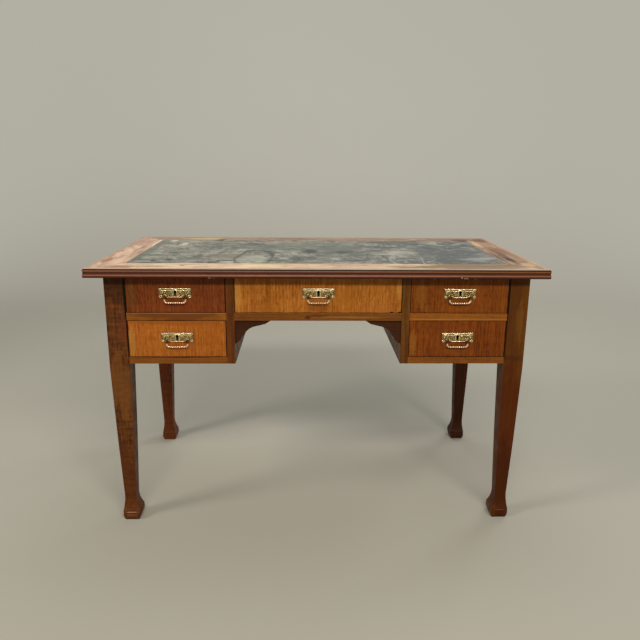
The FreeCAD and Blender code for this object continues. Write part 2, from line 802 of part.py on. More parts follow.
def make_drawer(name, centre_x, opening_width, opening_bottom, opening_top, side_top):
    """One drawer: a front with lap dovetails, two sides, a back, a bottom, a lock and a handle."""
    half = opening_width / 2 - front_side_gap
    front_bottom = opening_bottom + front_bottom_gap
    front_top = opening_top - front_top_gap
    side_bottom = opening_bottom + running_gap
    inner = half - side_thickness
    shoulder = case_front + front_thickness
    tail_end = case_front + dovetail_lap
    rear = back_panel_inner - running_gap
    back_front = rear - back_thickness
    panel_low = side_bottom + bottom_rise
    panel_high = panel_low + bottom_thickness
    plate_bottom = (front_bottom + front_top) / 2 + plate_rise - plate_height / 2
    key_z = plate_bottom + keyhole_rise
    across = (centre_x - half, centre_x + half)
    side_ranges = [(centre_x + sign * inner, centre_x + sign * half) for sign in (-1, 1)]

    bottom = block(
        (centre_x - inner - groove_depth, centre_x + inner + groove_depth),
        (shoulder - groove_depth, rear),
        (panel_low, panel_high),
    )
    front = block(across, (case_front, shoulder), (front_bottom, front_top))
    back = block(across, (back_front, rear), (panel_high, side_top - back_drop))
    for x_range in side_ranges:
        front = without(front, dovetail_tails(x_range, shoulder, tail_end, front_bottom, side_top))
        back = without(back, dovetail_tails(x_range, back_front, rear, panel_high, side_top - back_drop))
    hole = keyhole(centre_x, key_z, (case_front - overrun, lock_front))
    front = front.cut(bottom).cut(lock_box(centre_x, front_top, key_z)).cut(hole)
    sides = []
    for x_range in side_ranges:
        board = block(x_range, (tail_end, rear), (side_bottom, side_top))
        toe = block(x_range, (tail_end, shoulder), (side_bottom, front_bottom))
        sides.append(board.cut(toe).cut(front).cut(back).cut(bottom))

    save(name + "_drawer_front", front)
    save(name + "_drawer_sides_and_back", *sides, back)
    save(name + "_drawer_bottom", bottom)
    save(name + "_lock_case", lock_case(centre_x, front_top, key_z))
    save(name + "_lock_bolt", lock_bolt(centre_x, front_top, key_z))
    save(name + "_handle_plate", handle_plate(centre_x, plate_bottom), *handle_nails(centre_x, plate_bottom))
    save(name + "_handle_bail", bail(centre_x, plate_bottom))


def main():
    os.makedirs("parts", exist_ok=True)
    pedestal_width = leg_inner - partition_outer
    pedestal_centre = (leg_inner + partition_outer) / 2
    upper_side_top = top_rail_bottom - kicker_gap
    lower_side_top = lower_opening_top - lower_side_gap
    upper = (upper_opening_bottom, top_underside, upper_side_top)
    lower = (lower_opening_bottom, lower_opening_top, lower_side_top)
    for side, sign in (("left", -1), ("right", 1)):
        centre = sign * pedestal_centre
        make_drawer("top_" + side, centre, pedestal_width, *upper)
        make_drawer("bottom_" + side, centre, pedestal_width, *lower)
    make_drawer("centre", 0.0, kneehole_width, *upper)
    holes = [screw_body(x, y, screw_clearance) for x, y in screw_places()]
    make_top([strike(x, top_underside) for x in (-pedestal_centre, 0.0, pedestal_centre)], holes)
    make_case([strike(pedestal_centre, lower_opening_top)], holes)


main()
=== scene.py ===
import json
import random
from functools import partial
from math import cos, pi, sin

import bmesh
import bpy
from mathutils import Matrix, Vector, noise


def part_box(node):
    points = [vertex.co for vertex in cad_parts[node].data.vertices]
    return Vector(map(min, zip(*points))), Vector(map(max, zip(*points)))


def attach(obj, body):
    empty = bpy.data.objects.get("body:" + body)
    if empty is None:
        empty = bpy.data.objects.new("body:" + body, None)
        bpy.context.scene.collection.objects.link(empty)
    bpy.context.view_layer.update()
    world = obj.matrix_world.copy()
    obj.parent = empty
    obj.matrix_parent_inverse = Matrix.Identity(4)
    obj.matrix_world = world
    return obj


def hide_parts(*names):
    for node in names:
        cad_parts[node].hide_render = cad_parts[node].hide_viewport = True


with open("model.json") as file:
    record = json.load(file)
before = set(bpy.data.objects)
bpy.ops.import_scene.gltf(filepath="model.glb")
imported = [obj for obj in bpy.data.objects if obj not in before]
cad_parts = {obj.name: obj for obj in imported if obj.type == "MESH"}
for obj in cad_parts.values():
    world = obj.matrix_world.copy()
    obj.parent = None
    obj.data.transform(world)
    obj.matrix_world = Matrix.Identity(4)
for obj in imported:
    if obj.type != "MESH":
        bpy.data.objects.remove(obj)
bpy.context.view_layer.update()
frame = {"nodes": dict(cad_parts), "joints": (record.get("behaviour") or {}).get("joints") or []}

cad = frame["nodes"]


# LEGS
# Four square legs of dark stained mahogany, each cut from one length of timber with its tapered
# shank and small ridged foot. The panels and rails are tongued into them and glued.

def tone(code):
    """The linear light of a six-digit colour code."""
    parts = [int(code[i:i + 2], 16) / 255 for i in (0, 2, 4)]
    return tuple(p / 12.92 if p <= 0.04045 else ((p + 0.055) / 1.055) ** 2.4 for p in parts) + (1.0,)


def wire(node, values):
    """Gives a node's sockets their numbers or colour codes, or links them to what other nodes give."""
    for socket, value in values.items():
        if isinstance(value, bpy.types.NodeSocket):
            value.id_data.links.new(value, node.inputs[socket])
        else:
            node.inputs[socket].default_value = tone(value) if isinstance(value, str) else value
    return node


def set_up(thing, **settings):
    """Gives a thing its settings."""
    for name, value in settings.items():
        setattr(thing, name, value)
    return thing


def add(kind, inputs, tree=None, **settings):
    """Adds one shader node, beside the nodes that feed it unless a tree is named."""
    if tree is None:
        tree = next(value.id_data for value in inputs.values() if isinstance(value, bpy.types.NodeSocket))
    return wire(set_up(tree.nodes.new("ShaderNode" + kind), **settings), inputs)


def maths(operation, a, b=0.0, clamp=False):
    """One sum on two values."""
    return add("Math", {0: a, 1: b}, operation=operation, use_clamp=clamp).outputs[0]


times, plus, minus = (partial(maths, operation) for operation in ("MULTIPLY", "ADD", "SUBTRACT"))


def vectors(operation, a, b=(0, 0, 0)):
    """One sum on two vectors."""
    return add("VectorMath", {0: a, 1: b}, operation=operation).outputs["Vector"]


def length(vector):
    """How long a vector is."""
    return add("VectorMath", {0: vector}, operation="LENGTH").outputs["Value"]


def split(vector):
    """The X, Y and Z of a vector."""
    return add("SeparateXYZ", {0: vector}).outputs


def between(value, low, high, start=0.0, end=1.0):
    """Eases a value from start to end as it goes from low to high."""
    return add(
        "MapRange", {"Value": value, "From Min": low, "From Max": high, "To Min": start, "To Max": end},
        interpolation_type="SMOOTHSTEP",
    ).outputs["Result"]


def over(share, under, top):
    """Lays one colour over another by a share."""
    return add("Mix", {0: share, 6: under, 7: top}, data_type="RGBA", clamp_result=True).outputs[2]


def laid(colour, mask, strength, code):
    """A colour with a tone laid over it where a mask is."""
    return over(times(mask, strength), colour, code)


def cloud(place, stretch, detail=2.0, rough=0.5, twist=0.0):
    """Noise whose lumps measure one over stretch, in metres."""
    made = add("TexNoise", {
        "Vector": vectors("MULTIPLY", place, stretch), "Scale": 1.0, "Detail": detail, "Roughness": rough,
        "Distortion": twist})
    return made.outputs["Fac"]


def bumped(height, strength, distance):
    """The normal of a surface with a fine relief."""
    return add("Bump", {"Height": height, "Strength": strength, "Distance": distance}).outputs[0]


def start_group(name, takes, gives):
    """An empty node group, with what its start gives and its end."""
    group = bpy.data.node_groups.new(name, "ShaderNodeTree")
    for side, sockets in (("INPUT", takes), ("OUTPUT", gives)):
        for label, kind in sockets.items():
            group.interface.new_socket(name=label, in_out=side, socket_type="NodeSocket" + kind)
    return group, group.nodes.new("NodeGroupInput").outputs, group.nodes.new("NodeGroupOutput")


def use_group(group, inputs):
    """Places a node group in a material with its own values."""
    made = inputs["Place"].id_data.nodes.new("ShaderNodeGroup")
    made.node_tree = group
    return wire(made, inputs).outputs


figure_sizes = (
    "Ring Width", "Ring Depth", "Fibre Depth", "Ripple Depth", "Patch Depth", "Mottle Depth", "Pore Depth")


def make_timber_figure():
    """Growth rings round a heart at the origin, fibres, open pores and ripple, with the grain along Z."""
    group, given, end = start_group(
        "timber_figure",
        {"Place": "Vector", "Pale": "Color", "Dark": "Color", **dict.fromkeys(figure_sizes, "Float")},
        {"Color": "Color", "Height": "Float", "Streak": "Float"},
    )
    place = given["Place"]
    stretched = vectors("MULTIPLY", place, (5, 5, 1.6))
    bend = add("TexNoise", {"Vector": stretched, "Scale": 1.0, "Detail": 2.0}).outputs["Color"]
    shift = vectors("MULTIPLY", vectors("SUBTRACT", bend, (0.5, 0.5, 0.5)), (0.05, 0.05, 0.0))
    bent = vectors("ADD", place, shift)
    turns = maths("DIVIDE", length(vectors("MULTIPLY", bent, (1, 1, 0.03))), given["Ring Width"])
    saw = maths("FRACT", plus(turns, times(cloud(place, (30, 30, 4)), 1.4)))
    ring = times(between(saw, 0.1, 0.85), between(saw, 1.0, 0.88))
    fibre = cloud(place, (520, 520, 14), 3.0, 0.62)
    streak = cloud(place, (150, 150, 3.5), 2.0, 0.55)
    ripple = cloud(bent, (16, 16, 95), 2.0, 0.5, 0.4)
    patch = cloud(place, (7, 7, 3.2), 3.0, 0.55)
    mottle = cloud(bent, (260, 260, 46), 4.0, 0.76, 0.25)
    pore = between(cloud(place, (1300, 1300, 85), 1.0), 0.6, 0.7)

    def swing(value, depth, middle=0.5):
        return times(minus(value, middle), depth)

    share = plus(0.5, swing(fibre, given["Fibre Depth"]))
    share = plus(share, swing(streak, times(given["Fibre Depth"], 1.6)))
    share = minus(share, swing(ring, given["Ring Depth"], 0.3))
    share = plus(share, swing(ripple, times(given["Ripple Depth"], 2.0)))
    share = plus(share, swing(mottle, times(given["Mottle Depth"], 2.4)))
    share = plus(share, swing(patch, times(given["Patch Depth"], 2.2)), clamp=True)
    colour = over(share, given["Dark"], given["Pale"])
    pore_colour = over(0.55, colour, (0.006, 0.003, 0.002, 1))
    colour = over(times(pore, given["Pore Depth"]), colour, pore_colour)
    wire(end, {"Color": colour, "Height": minus(times(fibre, 0.5), pore), "Streak": streak})
    return group


def make_rubbed_edges():
    """A mask of the corners that hands and knees have rubbed."""
    group, given, end = start_group(
        "rubbed_edges", {"Place": "Vector", "Reach": "Float", "Unevenness": "Float"}, {"Rubbed": "Float"})
    rounded = add("Bevel", {"Radius": given["Reach"]}, samples=8).outputs[0]
    true = add("NewGeometry", {}, group).outputs["True Normal"]
    facing = add("VectorMath", {0: rounded, 1: true}, operation="DOT_PRODUCT").outputs["Value"]
    corner = between(facing, 0.985, 0.86)
    broken = cloud(given["Place"], (55, 55, 55), 4.0, 0.65)
    kept = between(broken, times(given["Unevenness"], 0.72), 0.78)
    wire(end, {"Rubbed": times(corner, kept, clamp=True)})
    return group


def make_stain():
    """A mask of one mark with a ragged rim, full at its centre or hollow."""
    takes = {"Place": "Vector", "Centre": "Vector", "Radii": "Vector", "Ragged": "Float", "Hollow": "Float"}
    group, given, end = start_group("stain", takes, {"Stain": "Float"})
    offset = vectors("DIVIDE", vectors("SUBTRACT", given["Place"], given["Centre"]), given["Radii"])
    tear = times(minus(cloud(offset, (1.7, 1.7, 1.7), 4.0, 0.6), 0.5), times(given["Ragged"], 2.4))
    distance = plus(length(offset), tear)
    full = between(distance, 1.0, 0.55)
    rim = times(between(distance, 1.0, 0.9), between(distance, 0.74, 0.86))
    wire(end, {"Stain": add("Mix", {0: given["Hollow"], 2: full, 3: rim}, data_type="FLOAT").outputs[0]})
    return group


timber_figure = make_timber_figure()
rubbed_edges = make_rubbed_edges()
stain = make_stain()


def marked(colour, place, marks):
    """Lays marks on a colour in turn."""
    for centre, radii, code, strength, ragged, hollow in marks:
        mask = use_group(stain, {
            "Place": place, "Centre": centre, "Radii": radii, "Ragged": ragged, "Hollow": hollow})["Stain"]
        colour = laid(colour, mask, strength, code)
    return colour


front_face = -0.31


def front_marks(depth, rows, y=front_face):
    """Marks on an upright face, in rows of X, Z, both reaches, tone, strength and how ragged it is."""
    return [((x, y, z), (wide, depth, high), code, strength, ragged, 0.0)
            for x, z, wide, high, code, strength, ragged in rows]


def gap_shade_and_dirt(place, box, reach, sides):
    """A mask along chosen sides of a piece's box: painted shade of the gaps there, with some dirt."""
    at = split(place)
    low, high = box
    inward = {"left": minus(at["X"], low.x), "right": minus(high.x, at["X"]), "under": minus(at["Z"], low.z)}
    nearest = 1.0
    for side in sides:
        nearest = maths("MINIMUM", nearest, inward[side])
    wander = times(cloud(place, (45, 45, 45), 3.0, 0.6), reach)
    return between(plus(nearest, wander), reach * 1.5, reach * 0.6)


def new_finish(name):
    """A new material, its surface shader and the places on its piece."""
    material = bpy.data.materials.new(name)
    material.use_nodes = True
    tree = material.node_tree
    return material, tree.nodes["Principled BSDF"], add("TexCoord", {}, tree).outputs["Object"]


def new_timber(name, pale, dark, run, heart, *sizes):
    """A new finish that shows its plank: the grain's run, the tree's heart, sizes as in figure_sizes."""
    material, surface, place = new_finish(name)
    plank = place
    if run != "z":
        at = split(place)
        order = (1, 2, 0) if run == "x" else (0, 2, 1)
        plank = add("CombineXYZ", {i: at[k] for i, k in enumerate(order)}).outputs[0]
    plank = vectors("SUBTRACT", plank, heart)
    figure = use_group(timber_figure, {
        "Place": plank, "Pale": pale, "Dark": dark, **dict(zip(figure_sizes, sizes))})
    return material, surface, place, plank, figure


def polished_timber(name, pale, dark, run, heart, ring_width=0.006, ring=0.3, fibre=0.5, ripple=0.15,
                    patch=0.4, mottle=0.4, pore=0.5, rubbed=0.5, rubbed_tone="a06a3a", uneven=0.6, marks=(),
                    gloss=0.42, coat=0.04, darkened=None):
    """Stained wood under old shellac: grain, open pores, marks laid on in turn, rubbed edges, and painted
    shade of the gaps with some dirt along chosen sides.
    """
    material, surface, place, plank, figure = new_timber(
        name, pale, dark, run, heart, ring_width, ring, fibre, ripple, patch, mottle, pore)
    colour = marked(figure["Color"], place, marks)
    corners = use_group(rubbed_edges, {"Place": place, "Reach": 0.002, "Unevenness": uneven})
    worn = times(corners["Rubbed"], rubbed)
    colour = over(worn, colour, rubbed_tone)
    # Painted shade of the gaps along the chosen sides, with some dirt.
    if darkened:
        colour = laid(colour, gap_shade_and_dirt(place, *darkened), 0.85, "1c0803")
    dull = cloud(place, (22, 22, 22), 4.0, 0.6)
    wire(surface, {
        "Base Color": colour,
        "Roughness": plus(between(dull, 0.3, 0.75, gloss - 0.07, gloss + 0.13), times(worn, 0.2), clamp=True),
        "Normal": bumped(figure["Height"], 0.5, 0.00025),
        "Specular IOR Level": 0.1, "Coat Weight": coat, "Coat Roughness": 0.3})
    return material


def dress(piece, material):
    """Puts one material on a piece."""
    piece.data.materials.clear()
    piece.data.materials.append(material)


def put(name, data):
    """Puts a mesh, a lamp or a camera into the scene."""
    placed = bpy.data.objects.new(name, data)
    bpy.context.scene.collection.objects.link(placed)
    return placed


def to_mesh(soup, name, crease):
    """Makes a mesh of what a soup holds, smooth but for the edges that bend more than the crease."""
    mesh = bpy.data.meshes.new(name)
    soup.to_mesh(mesh)
    soup.free()
    mesh.shade_smooth()
    mesh.set_sharp_from_angle(angle=crease)
    return mesh


def soft_cornered(node_name, ease, material, crease=0.6, body="carcass"):
    """The CAD piece in its finish, with its sharp corners taken off, as glasspaper leaves them."""
    soup = bmesh.new()
    soup.from_mesh(cad[node_name].data)
    bmesh.ops.remove_doubles(soup, verts=soup.verts, dist=0.00001)
    bmesh.ops.dissolve_limit(soup, angle_limit=0.008, verts=soup.verts, edges=soup.edges)
    piece = put(node_name + "_softened", to_mesh(soup, node_name + "_softened", crease))
    set_up(
        piece.modifiers.new("eased_corners", "BEVEL"), width=ease, segments=2, limit_method="ANGLE",
        angle_limit=crease, harden_normals=True, use_clamp_overlap=True)
    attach(piece, body)
    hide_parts(node_name)
    dress(piece, material)
    return piece


foot_face = -0.33
leg_deep = 0.05
gap_shade_deep = 0.01
left_leg_marks_and_painted_light = front_marks(leg_deep, [
    # Painted shade under the top's overhang, dark at the head of the leg.
    (-0.567, 0.715, 0.06, 0.05, "30180b", 0.6, 0.9),
    (-0.585, 0.64, 0.012, 0.05, "5a3216", 0.5, 0.9),
    (-0.545, 0.6, 0.012, 0.05, "6a2c1c", 0.4, 0.9),
    (-0.567, 0.42, 0.05, 0.12, "7a4c20", 0.5, 0.9),
    (-0.567, 0.1, 0.05, 0.16, "5a2c0e", 0.6, 0.9),
]) + front_marks(leg_deep, [
    # On the foot: a pale line painted as the highlight along its ridge, a lighter band under it, and a dark
    # line painted as the shade where it meets the floor.
    (-0.563, 0.0245, 0.024, 0.0018, "d8a88c", 0.8, 0.3),
    (-0.563, 0.014, 0.024, 0.006, "8a5230", 0.5, 0.6),
    (-0.563, 0.0, 0.06, 0.005, "1a0c06", 0.8, 0.3),
], foot_face) + front_marks(gap_shade_deep, [
    # Dark lines painted as the shade of the gap between the leg and the drawer fronts, with some dirt.
    (-0.539, 0.7, 0.004, 0.085, "0c0502", 0.95, 0.15),
    (-0.538, 0.58, 0.0022, 0.1, "0c0502", 0.9, 0.15),
])
right_leg_marks_and_painted_light = front_marks(leg_deep, [
    # A dark upright band painted as a reflection in the leg's polish.
    (0.552, 0.66, 0.03, 0.16, "4a2609", 0.4, 0.9),
    (0.574, 0.62, 0.014, 0.07, "74501a", 0.35, 0.9),
    (0.56, 0.515, 0.04, 0.012, "3c1e08", 0.55, 1.0),
    (0.56, 0.33, 0.06, 0.19, "4c1c03", 0.7, 0.7),
    (0.56, 0.11, 0.06, 0.18, "3c1202", 0.8, 0.5),
]) + front_marks(leg_deep, [
    # On the foot: a pale line painted as the highlight along its ridge, and a dark line painted as the shade
    # where it meets the floor.
    (0.563, 0.025, 0.022, 0.0016, "a8743c", 0.5, 0.4),
    (0.563, 0.0, 0.06, 0.005, "1a0c06", 0.8, 0.3),
], foot_face) + front_marks(gap_shade_deep, [
    # Dark lines painted as the shade of the gap between the leg and the drawer fronts, with some dirt.
    (0.5386, 0.69, 0.0028, 0.1, "0c0502", 0.95, 0.15),
    (0.538, 0.58, 0.002, 0.1, "0c0502", 0.8, 0.15),
])
leg_cuts = {
    "front_left_leg": ("76431c", "2a1409", (-0.53, -0.36, 0), 0.6, 0.8, left_leg_marks_and_painted_light),
    "front_right_leg": ("6e3f0f", "482406", (0.5, -0.4, 0), 0.05, 0.3, right_leg_marks_and_painted_light),
    "back_left_leg": ("7a3f1e", "3e1e0d", (-0.61, 0.35, 0), 0.3, 0.5, []),
    "back_right_leg": ("502812", "2a1207", (0.62, 0.2, 0), 0.2, 0.4, []),
}
for name, (pale, dark, heart, ripple, mottle, marks) in leg_cuts.items():
    mahogany = polished_timber(
        name + "_mahogany", pale, dark, "z", heart, ring_width=0.008, ring=0.12, ripple=ripple, patch=0.6,
        mottle=mottle, rubbed=0.35, rubbed_tone="94602e", marks=marks, coat=0.015)
    soft_cornered(name, 0.0009, mahogany, crease=0.5)


# END AND BACK PANELS, PARTITIONS
# Solid mahogany boards that close the two pedestals, upright in grain at the kneehole and lying along
# the desk at the ends and the back. They are tongued into the legs and rails and set back a little.

panel_cuts = {
    "left_end_panel": ("7d4519", "4c260c", "y", (-0.72, 0.61, 0)),
    "right_end_panel": ("7d4518", "4c260c", "y", (0.7, 0.66, 0)),
    "left_partition": ("744016", "4b270b", "z", (-0.31, -0.46, 0)),
    "right_partition": ("704416", "4a2a0c", "z", (0.31, -0.42, 0)),
    "left_back_panel": ("78441c", "4a270e", "x", (0.42, 0.58, 0)),
    "right_back_panel": ("78441c", "4a270e", "x", (0.44, 0.66, 0)),
    "centre_back_panel": ("74421c", "48260e", "x", (0.44, 0.62, 0)),
}
for name, cut in panel_cuts.items():
    mahogany = polished_timber(name + "_mahogany", *cut, ring_width=0.009, ring=0.4, rubbed=0.3)
    soft_cornered(name, 0.0005, mahogany)


# RAILS
# The members that part the drawers: mahogany rails tongued between the legs and the partitions,
# showing long grain and worn corners, with pale lines painted along their edges as highlights and
# dark lines painted at their edges as the shade of the gaps beside the drawer fronts.

middle_low, middle_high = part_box("middle_rails")
bottom_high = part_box("bottom_rails")[1]
pedestal_rail_marks_and_painted_light = front_marks(0.03, [
    (-0.4, 0.646, 0.16, 0.03, "643614", 0.85, 0.7),
    (-0.4, 0.515, 0.16, 0.03, "7a4a20", 0.35, 0.9),
    # Pale lines painted as highlights along the rails' edges, and dark lines painted as the shade of the gaps
    # beside the drawer fronts.
    (-0.4, middle_high.z, 0.19, 0.003, "b07450", 0.5, 0.5),
    (-0.4, middle_low.z, 0.19, 0.0022, "1c0803", 0.9, 0.2),
    (0.4, middle_low.z + 0.0045, 0.19, 0.0026, "b07838", 0.4, 0.35),
    (0.4, middle_low.z, 0.19, 0.0016, "2c1006", 0.8, 0.2),
    (-0.4, bottom_high.z, 0.19, 0.003, "1c0803", 0.85, 0.3),
    (0.4, bottom_high.z, 0.19, 0.0026, "1c0803", 0.7, 0.3),
])
centre_rail_marks = front_marks(0.02, [
    (-0.03, 0.636, 0.01, 0.006, "2c1408", 0.7, 0.7),
    (0.0, 0.641, 0.034, 0.005, "4a260c", 0.6, 0.9),
    (0.09, 0.637, 0.11, 0.004, "9a6a30", 0.5, 0.9),
])
rail_cuts = {
    "centre_rail": ("85501c", "5a310e", (-0.33, 0.66, 0), centre_rail_marks),
    "middle_rails": ("a0601e", "6a3a10", (-0.36, 0.6, 0), pedestal_rail_marks_and_painted_light),
    "bottom_rails": ("965a1a", "62340d", (-0.34, 0.55, 0), pedestal_rail_marks_and_painted_light),
}
for name, (pale, dark, heart, marks) in rail_cuts.items():
    mahogany = polished_timber(
        name + "_mahogany", pale, dark, "x", heart, ring_width=0.005, ring=0.25, patch=0.5, rubbed=1.0,
        rubbed_tone="cf9560", uneven=0.3, marks=marks)
    soft_cornered(name, 0.0007, mahogany)


# KNEEHOLE BRACKETS
# Two brackets sawn to an ogee and glued into the corners of the kneehole, behind the front rail.
# They are of darker, straighter wood than the rails.

bracket_mahogany = polished_timber(
    "brackets_mahogany", "47250f", "2a1209", "x", (-0.36, 0.5, 0), ring=0.2, ripple=0.2, rubbed=0.2,
    rubbed_tone="5a3418")
soft_cornered("kneehole_brackets", 0.0008, bracket_mahogany)


# RUNNERS, TOP RAILS AND GROUND PANEL
# What nobody sees: planed pine, left bare, that the drawers run on, that the top is screwed to, and
# that the leather is glued to. It has browned and gathered dust.

def bare_timber(name, pale, dark, run, heart, ring_width=0.005, dust=0.5):
    """Planed wood with no finish, browned by age, with dust lying on what faces up."""
    material, surface, place, plank, figure = new_timber(
        name, pale, dark, run, heart, ring_width, 0.6, 0.5, 0.05, 0.45, 0.15, 0.25)
    normal = add("NewGeometry", {}, place.id_data).outputs["Normal"]
    lying = times(between(split(normal)["Z"], 0.5, 1.0), between(cloud(place, (30, 30, 30), 4.0), 0.3, 0.8))
    wire(surface, {
        "Base Color": laid(figure["Color"], lying, dust, "8d857a"),
        "Roughness": between(figure["Streak"], 0.2, 0.8, 0.68, 0.85),
        "Normal": bumped(figure["Height"], 0.7, 0.0004)})
    return material


hidden_cuts = {
    "drawer_runners": ("b08a58", "80603a", "y"),
    "top_rails": ("a88252", "7a5a36", "x"),
    "top_ground_panel": ("a88456", "7c5e3c", "x"),
}
for name, cut in hidden_cuts.items():
    dress(cad[name], bare_timber(name + "_pine", *cut, (0.2, 0.5, 0)))


# DRAWER FRONTS
# Five mahogany fronts, each with upright veneer cut from a different leaf, so that no two match.
# They are lap-dovetailed to the drawer sides and pierced for the keyhole.

front_cuts = {
    "top_left": ("80401a", "562508", (-0.37, -0.26, 0), [
        (-0.52, 0.69, 0.02, 0.06, "6a4a1c", 0.3, 0.7),
        (-0.4, 0.668, 0.12, 0.014, "7a3610", 0.4, 0.9),
    ]),
    "bottom_left": ("b46a24", "8a4712", (-0.46, -0.27, 0), [
        (-0.398, 0.62, 0.16, 0.01, "8a4814", 0.55, 0.6),
        (-0.525, 0.56, 0.012, 0.06, "a88040", 0.35, 0.8),
        (-0.45, 0.545, 0.06, 0.02, "9c5a1c", 0.4, 0.8),
        (-0.3, 0.59, 0.03, 0.04, "9a5216", 0.45, 0.7),
        (-0.395, 0.545, 0.012, 0.03, "9a4c14", 0.35, 0.7),
    ]),
    "centre": ("b4702a", "84480e", (0.02, -0.255, 0), [
        (0.0, 0.662, 0.04, 0.014, "7a4110", 0.6, 0.7),
        (0.085, 0.69, 0.03, 0.05, "945614", 0.45, 0.9),
        (-0.14, 0.664, 0.05, 0.018, "9c5c1c", 0.45, 0.9),
        (0.175, 0.658, 0.06, 0.012, "a0602a", 0.45, 1.2),
        (0.207, 0.6515, 0.007, 0.0032, "160a04", 0.95, 0.5),
        (0.229, 0.6515, 0.006, 0.0032, "160a04", 0.95, 0.5),
        (-0.225, 0.7, 0.012, 0.06, "c08a3e", 0.45, 0.5),
        (0.226, 0.715, 0.01, 0.035, "c0863a", 0.45, 0.6),
    ]),
    "top_right": ("854711", "5c2a06", (0.44, -0.26, 0), [
        (0.29, 0.7, 0.022, 0.05, "8a5818", 0.45, 0.7),
        (0.4, 0.668, 0.06, 0.016, "844410", 0.4, 0.9),
    ]),
    "bottom_right": ("84430e", "572606", (0.36, -0.26, 0), [
        (0.272, 0.56, 0.012, 0.045, "96601f", 0.5, 0.8),
        (0.395, 0.535, 0.06, 0.012, "7d4410", 0.45, 0.9),
        (0.33, 0.612, 0.06, 0.018, "6a340c", 0.45, 0.9),
    ]),
}
for key, (pale, dark, heart, rows) in front_cuts.items():
    lock_low, lock_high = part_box(key + "_lock_case")
    plate_low, plate_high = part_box(key + "_handle_plate")
    keyhole = ((lock_low.x + lock_high.x) / 2, front_face, (plate_low.z + plate_high.z) / 2)
    # The front is painted black round the keyhole, as the shade in its bore.
    marks = front_marks(0.02, rows) + [(keyhole, (0.011, 0.05, 0.013), "060302", 1.0, 0.0, 0.0)]
    # Painted shade of the gaps beside and under each front, with some dirt, along these sides.
    sides = ("right", "under") if "right" in key else ("left", "right", "under")
    veneer = polished_timber(
        key + "_front_veneer", pale, dark, "z", heart, ring_width=0.007, ring=0.2, fibre=0.8, ripple=0.25,
        patch=0.5, mottle=1.1, pore=0.6, rubbed_tone="b07c3a", marks=marks, gloss=0.38,
        darkened=(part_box(key + "_drawer_front"), 0.0026, sides))
    soft_cornered(key + "_drawer_front", 0.0006, veneer, body=key + "_drawer")


# DRAWER LININGS
# Sides and backs of thin planed oak, dovetailed by hand, round a bottom panel slid into grooves.
# They are bare, and each board is cut from another place in the tree.

oak_marks = random.Random(11)
for key in front_cuts:
    for name, run in ((key + "_drawer_sides_and_back", "y"), (key + "_drawer_bottom", "x")):
        heart = (oak_marks.uniform(-0.3, 0.3), oak_marks.uniform(0.3, 0.6), 0)
        oak = bare_timber(name + "_oak", "b79466", "8a6a42", run, heart, ring_width=0.004, dust=0.15)
        dress(cad[name], oak)


# LOCKS
# A brass box lock let into the back of each front, with its steel bolt, and the top's steel screws.
# The brass has gone brown in patches; the lock and its bolt are painted black but for their backs, as
# the shade seen through the keyhole; the steel has a thin bloom of rust.

def old_metal(name, clean, darkened, dirt, polish, metallic=1.0, spread=120, painted_shade=None, waists=None):
    """Handled metal: patchy tarnish, fine scratches, painted shade past a limit, darker in the waists of a
    bar.
    """
    material, surface, place = new_finish(name)
    patch = cloud(place, (spread,) * 3, 5.0, 0.65)
    skin = times(between(patch, 0.42, 0.68), dirt)
    at = split(place)
    # Painted shade: the metal is darkened past a limit along one axis.
    if painted_shade:
        axis, clear, black = painted_shade
        skin = maths("MAXIMUM", skin, between(at[axis], clear, black))
    # Darker in the waists between the beads.
    if waists:
        pitch, bar_top = waists
        wave = maths("COSINE", times(at["X"], 2 * pi / pitch))
        waist = between(plus(wave, times(patch, 0.5)), 0.2, -0.55, 0.0, 0.9)
        skin = maths("MAXIMUM", skin, times(waist, between(at["Z"], bar_top + 0.001, bar_top)))
    scratched = between(cloud(place, (2500, 400, 300)), 0.35, 0.75, polish - 0.08, polish + 0.1)
    wire(surface, {
        "Base Color": over(skin, clean, darkened),
        "Roughness": plus(scratched, times(skin, 0.3), clamp=True),
        "Normal": bumped(patch, 0.3, 0.0002), "Metallic": metallic})
    return material


lock_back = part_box("centre_lock_case")[1].y
lock_painted_shade = ("Y", lock_back, lock_back - 0.001)
lock_brass = old_metal("lock_brass", "b8934c", "0c0805", 0.5, 0.42, 0.6, painted_shade=lock_painted_shade)
bolt_steel = old_metal("bolt_steel", "6d6b66", "0c0906", 0.7, 0.5, 0.6, painted_shade=lock_painted_shade)
screw_steel = old_metal("screw_steel", "6e6b66", "4a2f1e", 0.9, 0.5)
for key in front_cuts:
    dress(cad[key + "_lock_case"], lock_brass)
    dress(cad[key + "_lock_bolt"], bolt_steel)
dress(cad["top_fixing_screws"], screw_steel)


# HANDLE PLATES
# Cast brass back plates, one on each drawer: two mouldings along the head, of which the lower one
# rises to a peak over the keyhole, a key shield, and scrolled foliage on a ground gone brown.

rim_face = 0.003
ground_face = 0.002
scroll_radius = 0.0012
sill_below_pivot = 0.0055
keyhole_rise = 0.0155
toward = Vector((0, -1, 0))


def cast_brass(name, clean, darkened, face_depth, ground_depth, front_y, polish=0.3, sunk=()):
    """Cast brass, dark in the ground of its ornament and rubbed bright on what stands proud."""
    material, surface, place = new_finish(name)
    grime = between(minus(front_y, split(place)["Y"]), face_depth, ground_depth)
    patch = cloud(place, (260, 260, 260), 4.0, 0.6)
    grime = plus(times(grime, 0.85), between(patch, 0.5, 0.8, 0.0, 0.35), clamp=True)
    wire(surface, {
        "Base Color": marked(over(grime, clean, darkened), place, sunk),
        "Roughness": between(plus(grime, patch), 0.3, 1.6, polish - 0.06, polish + 0.4),
        "Normal": bumped(patch, 0.35, 0.00025), "Metallic": 0.65})
    return material


def around(sides):
    """The angles of a ring's corners."""
    return [2 * pi * k / sides for k in range(sides)]


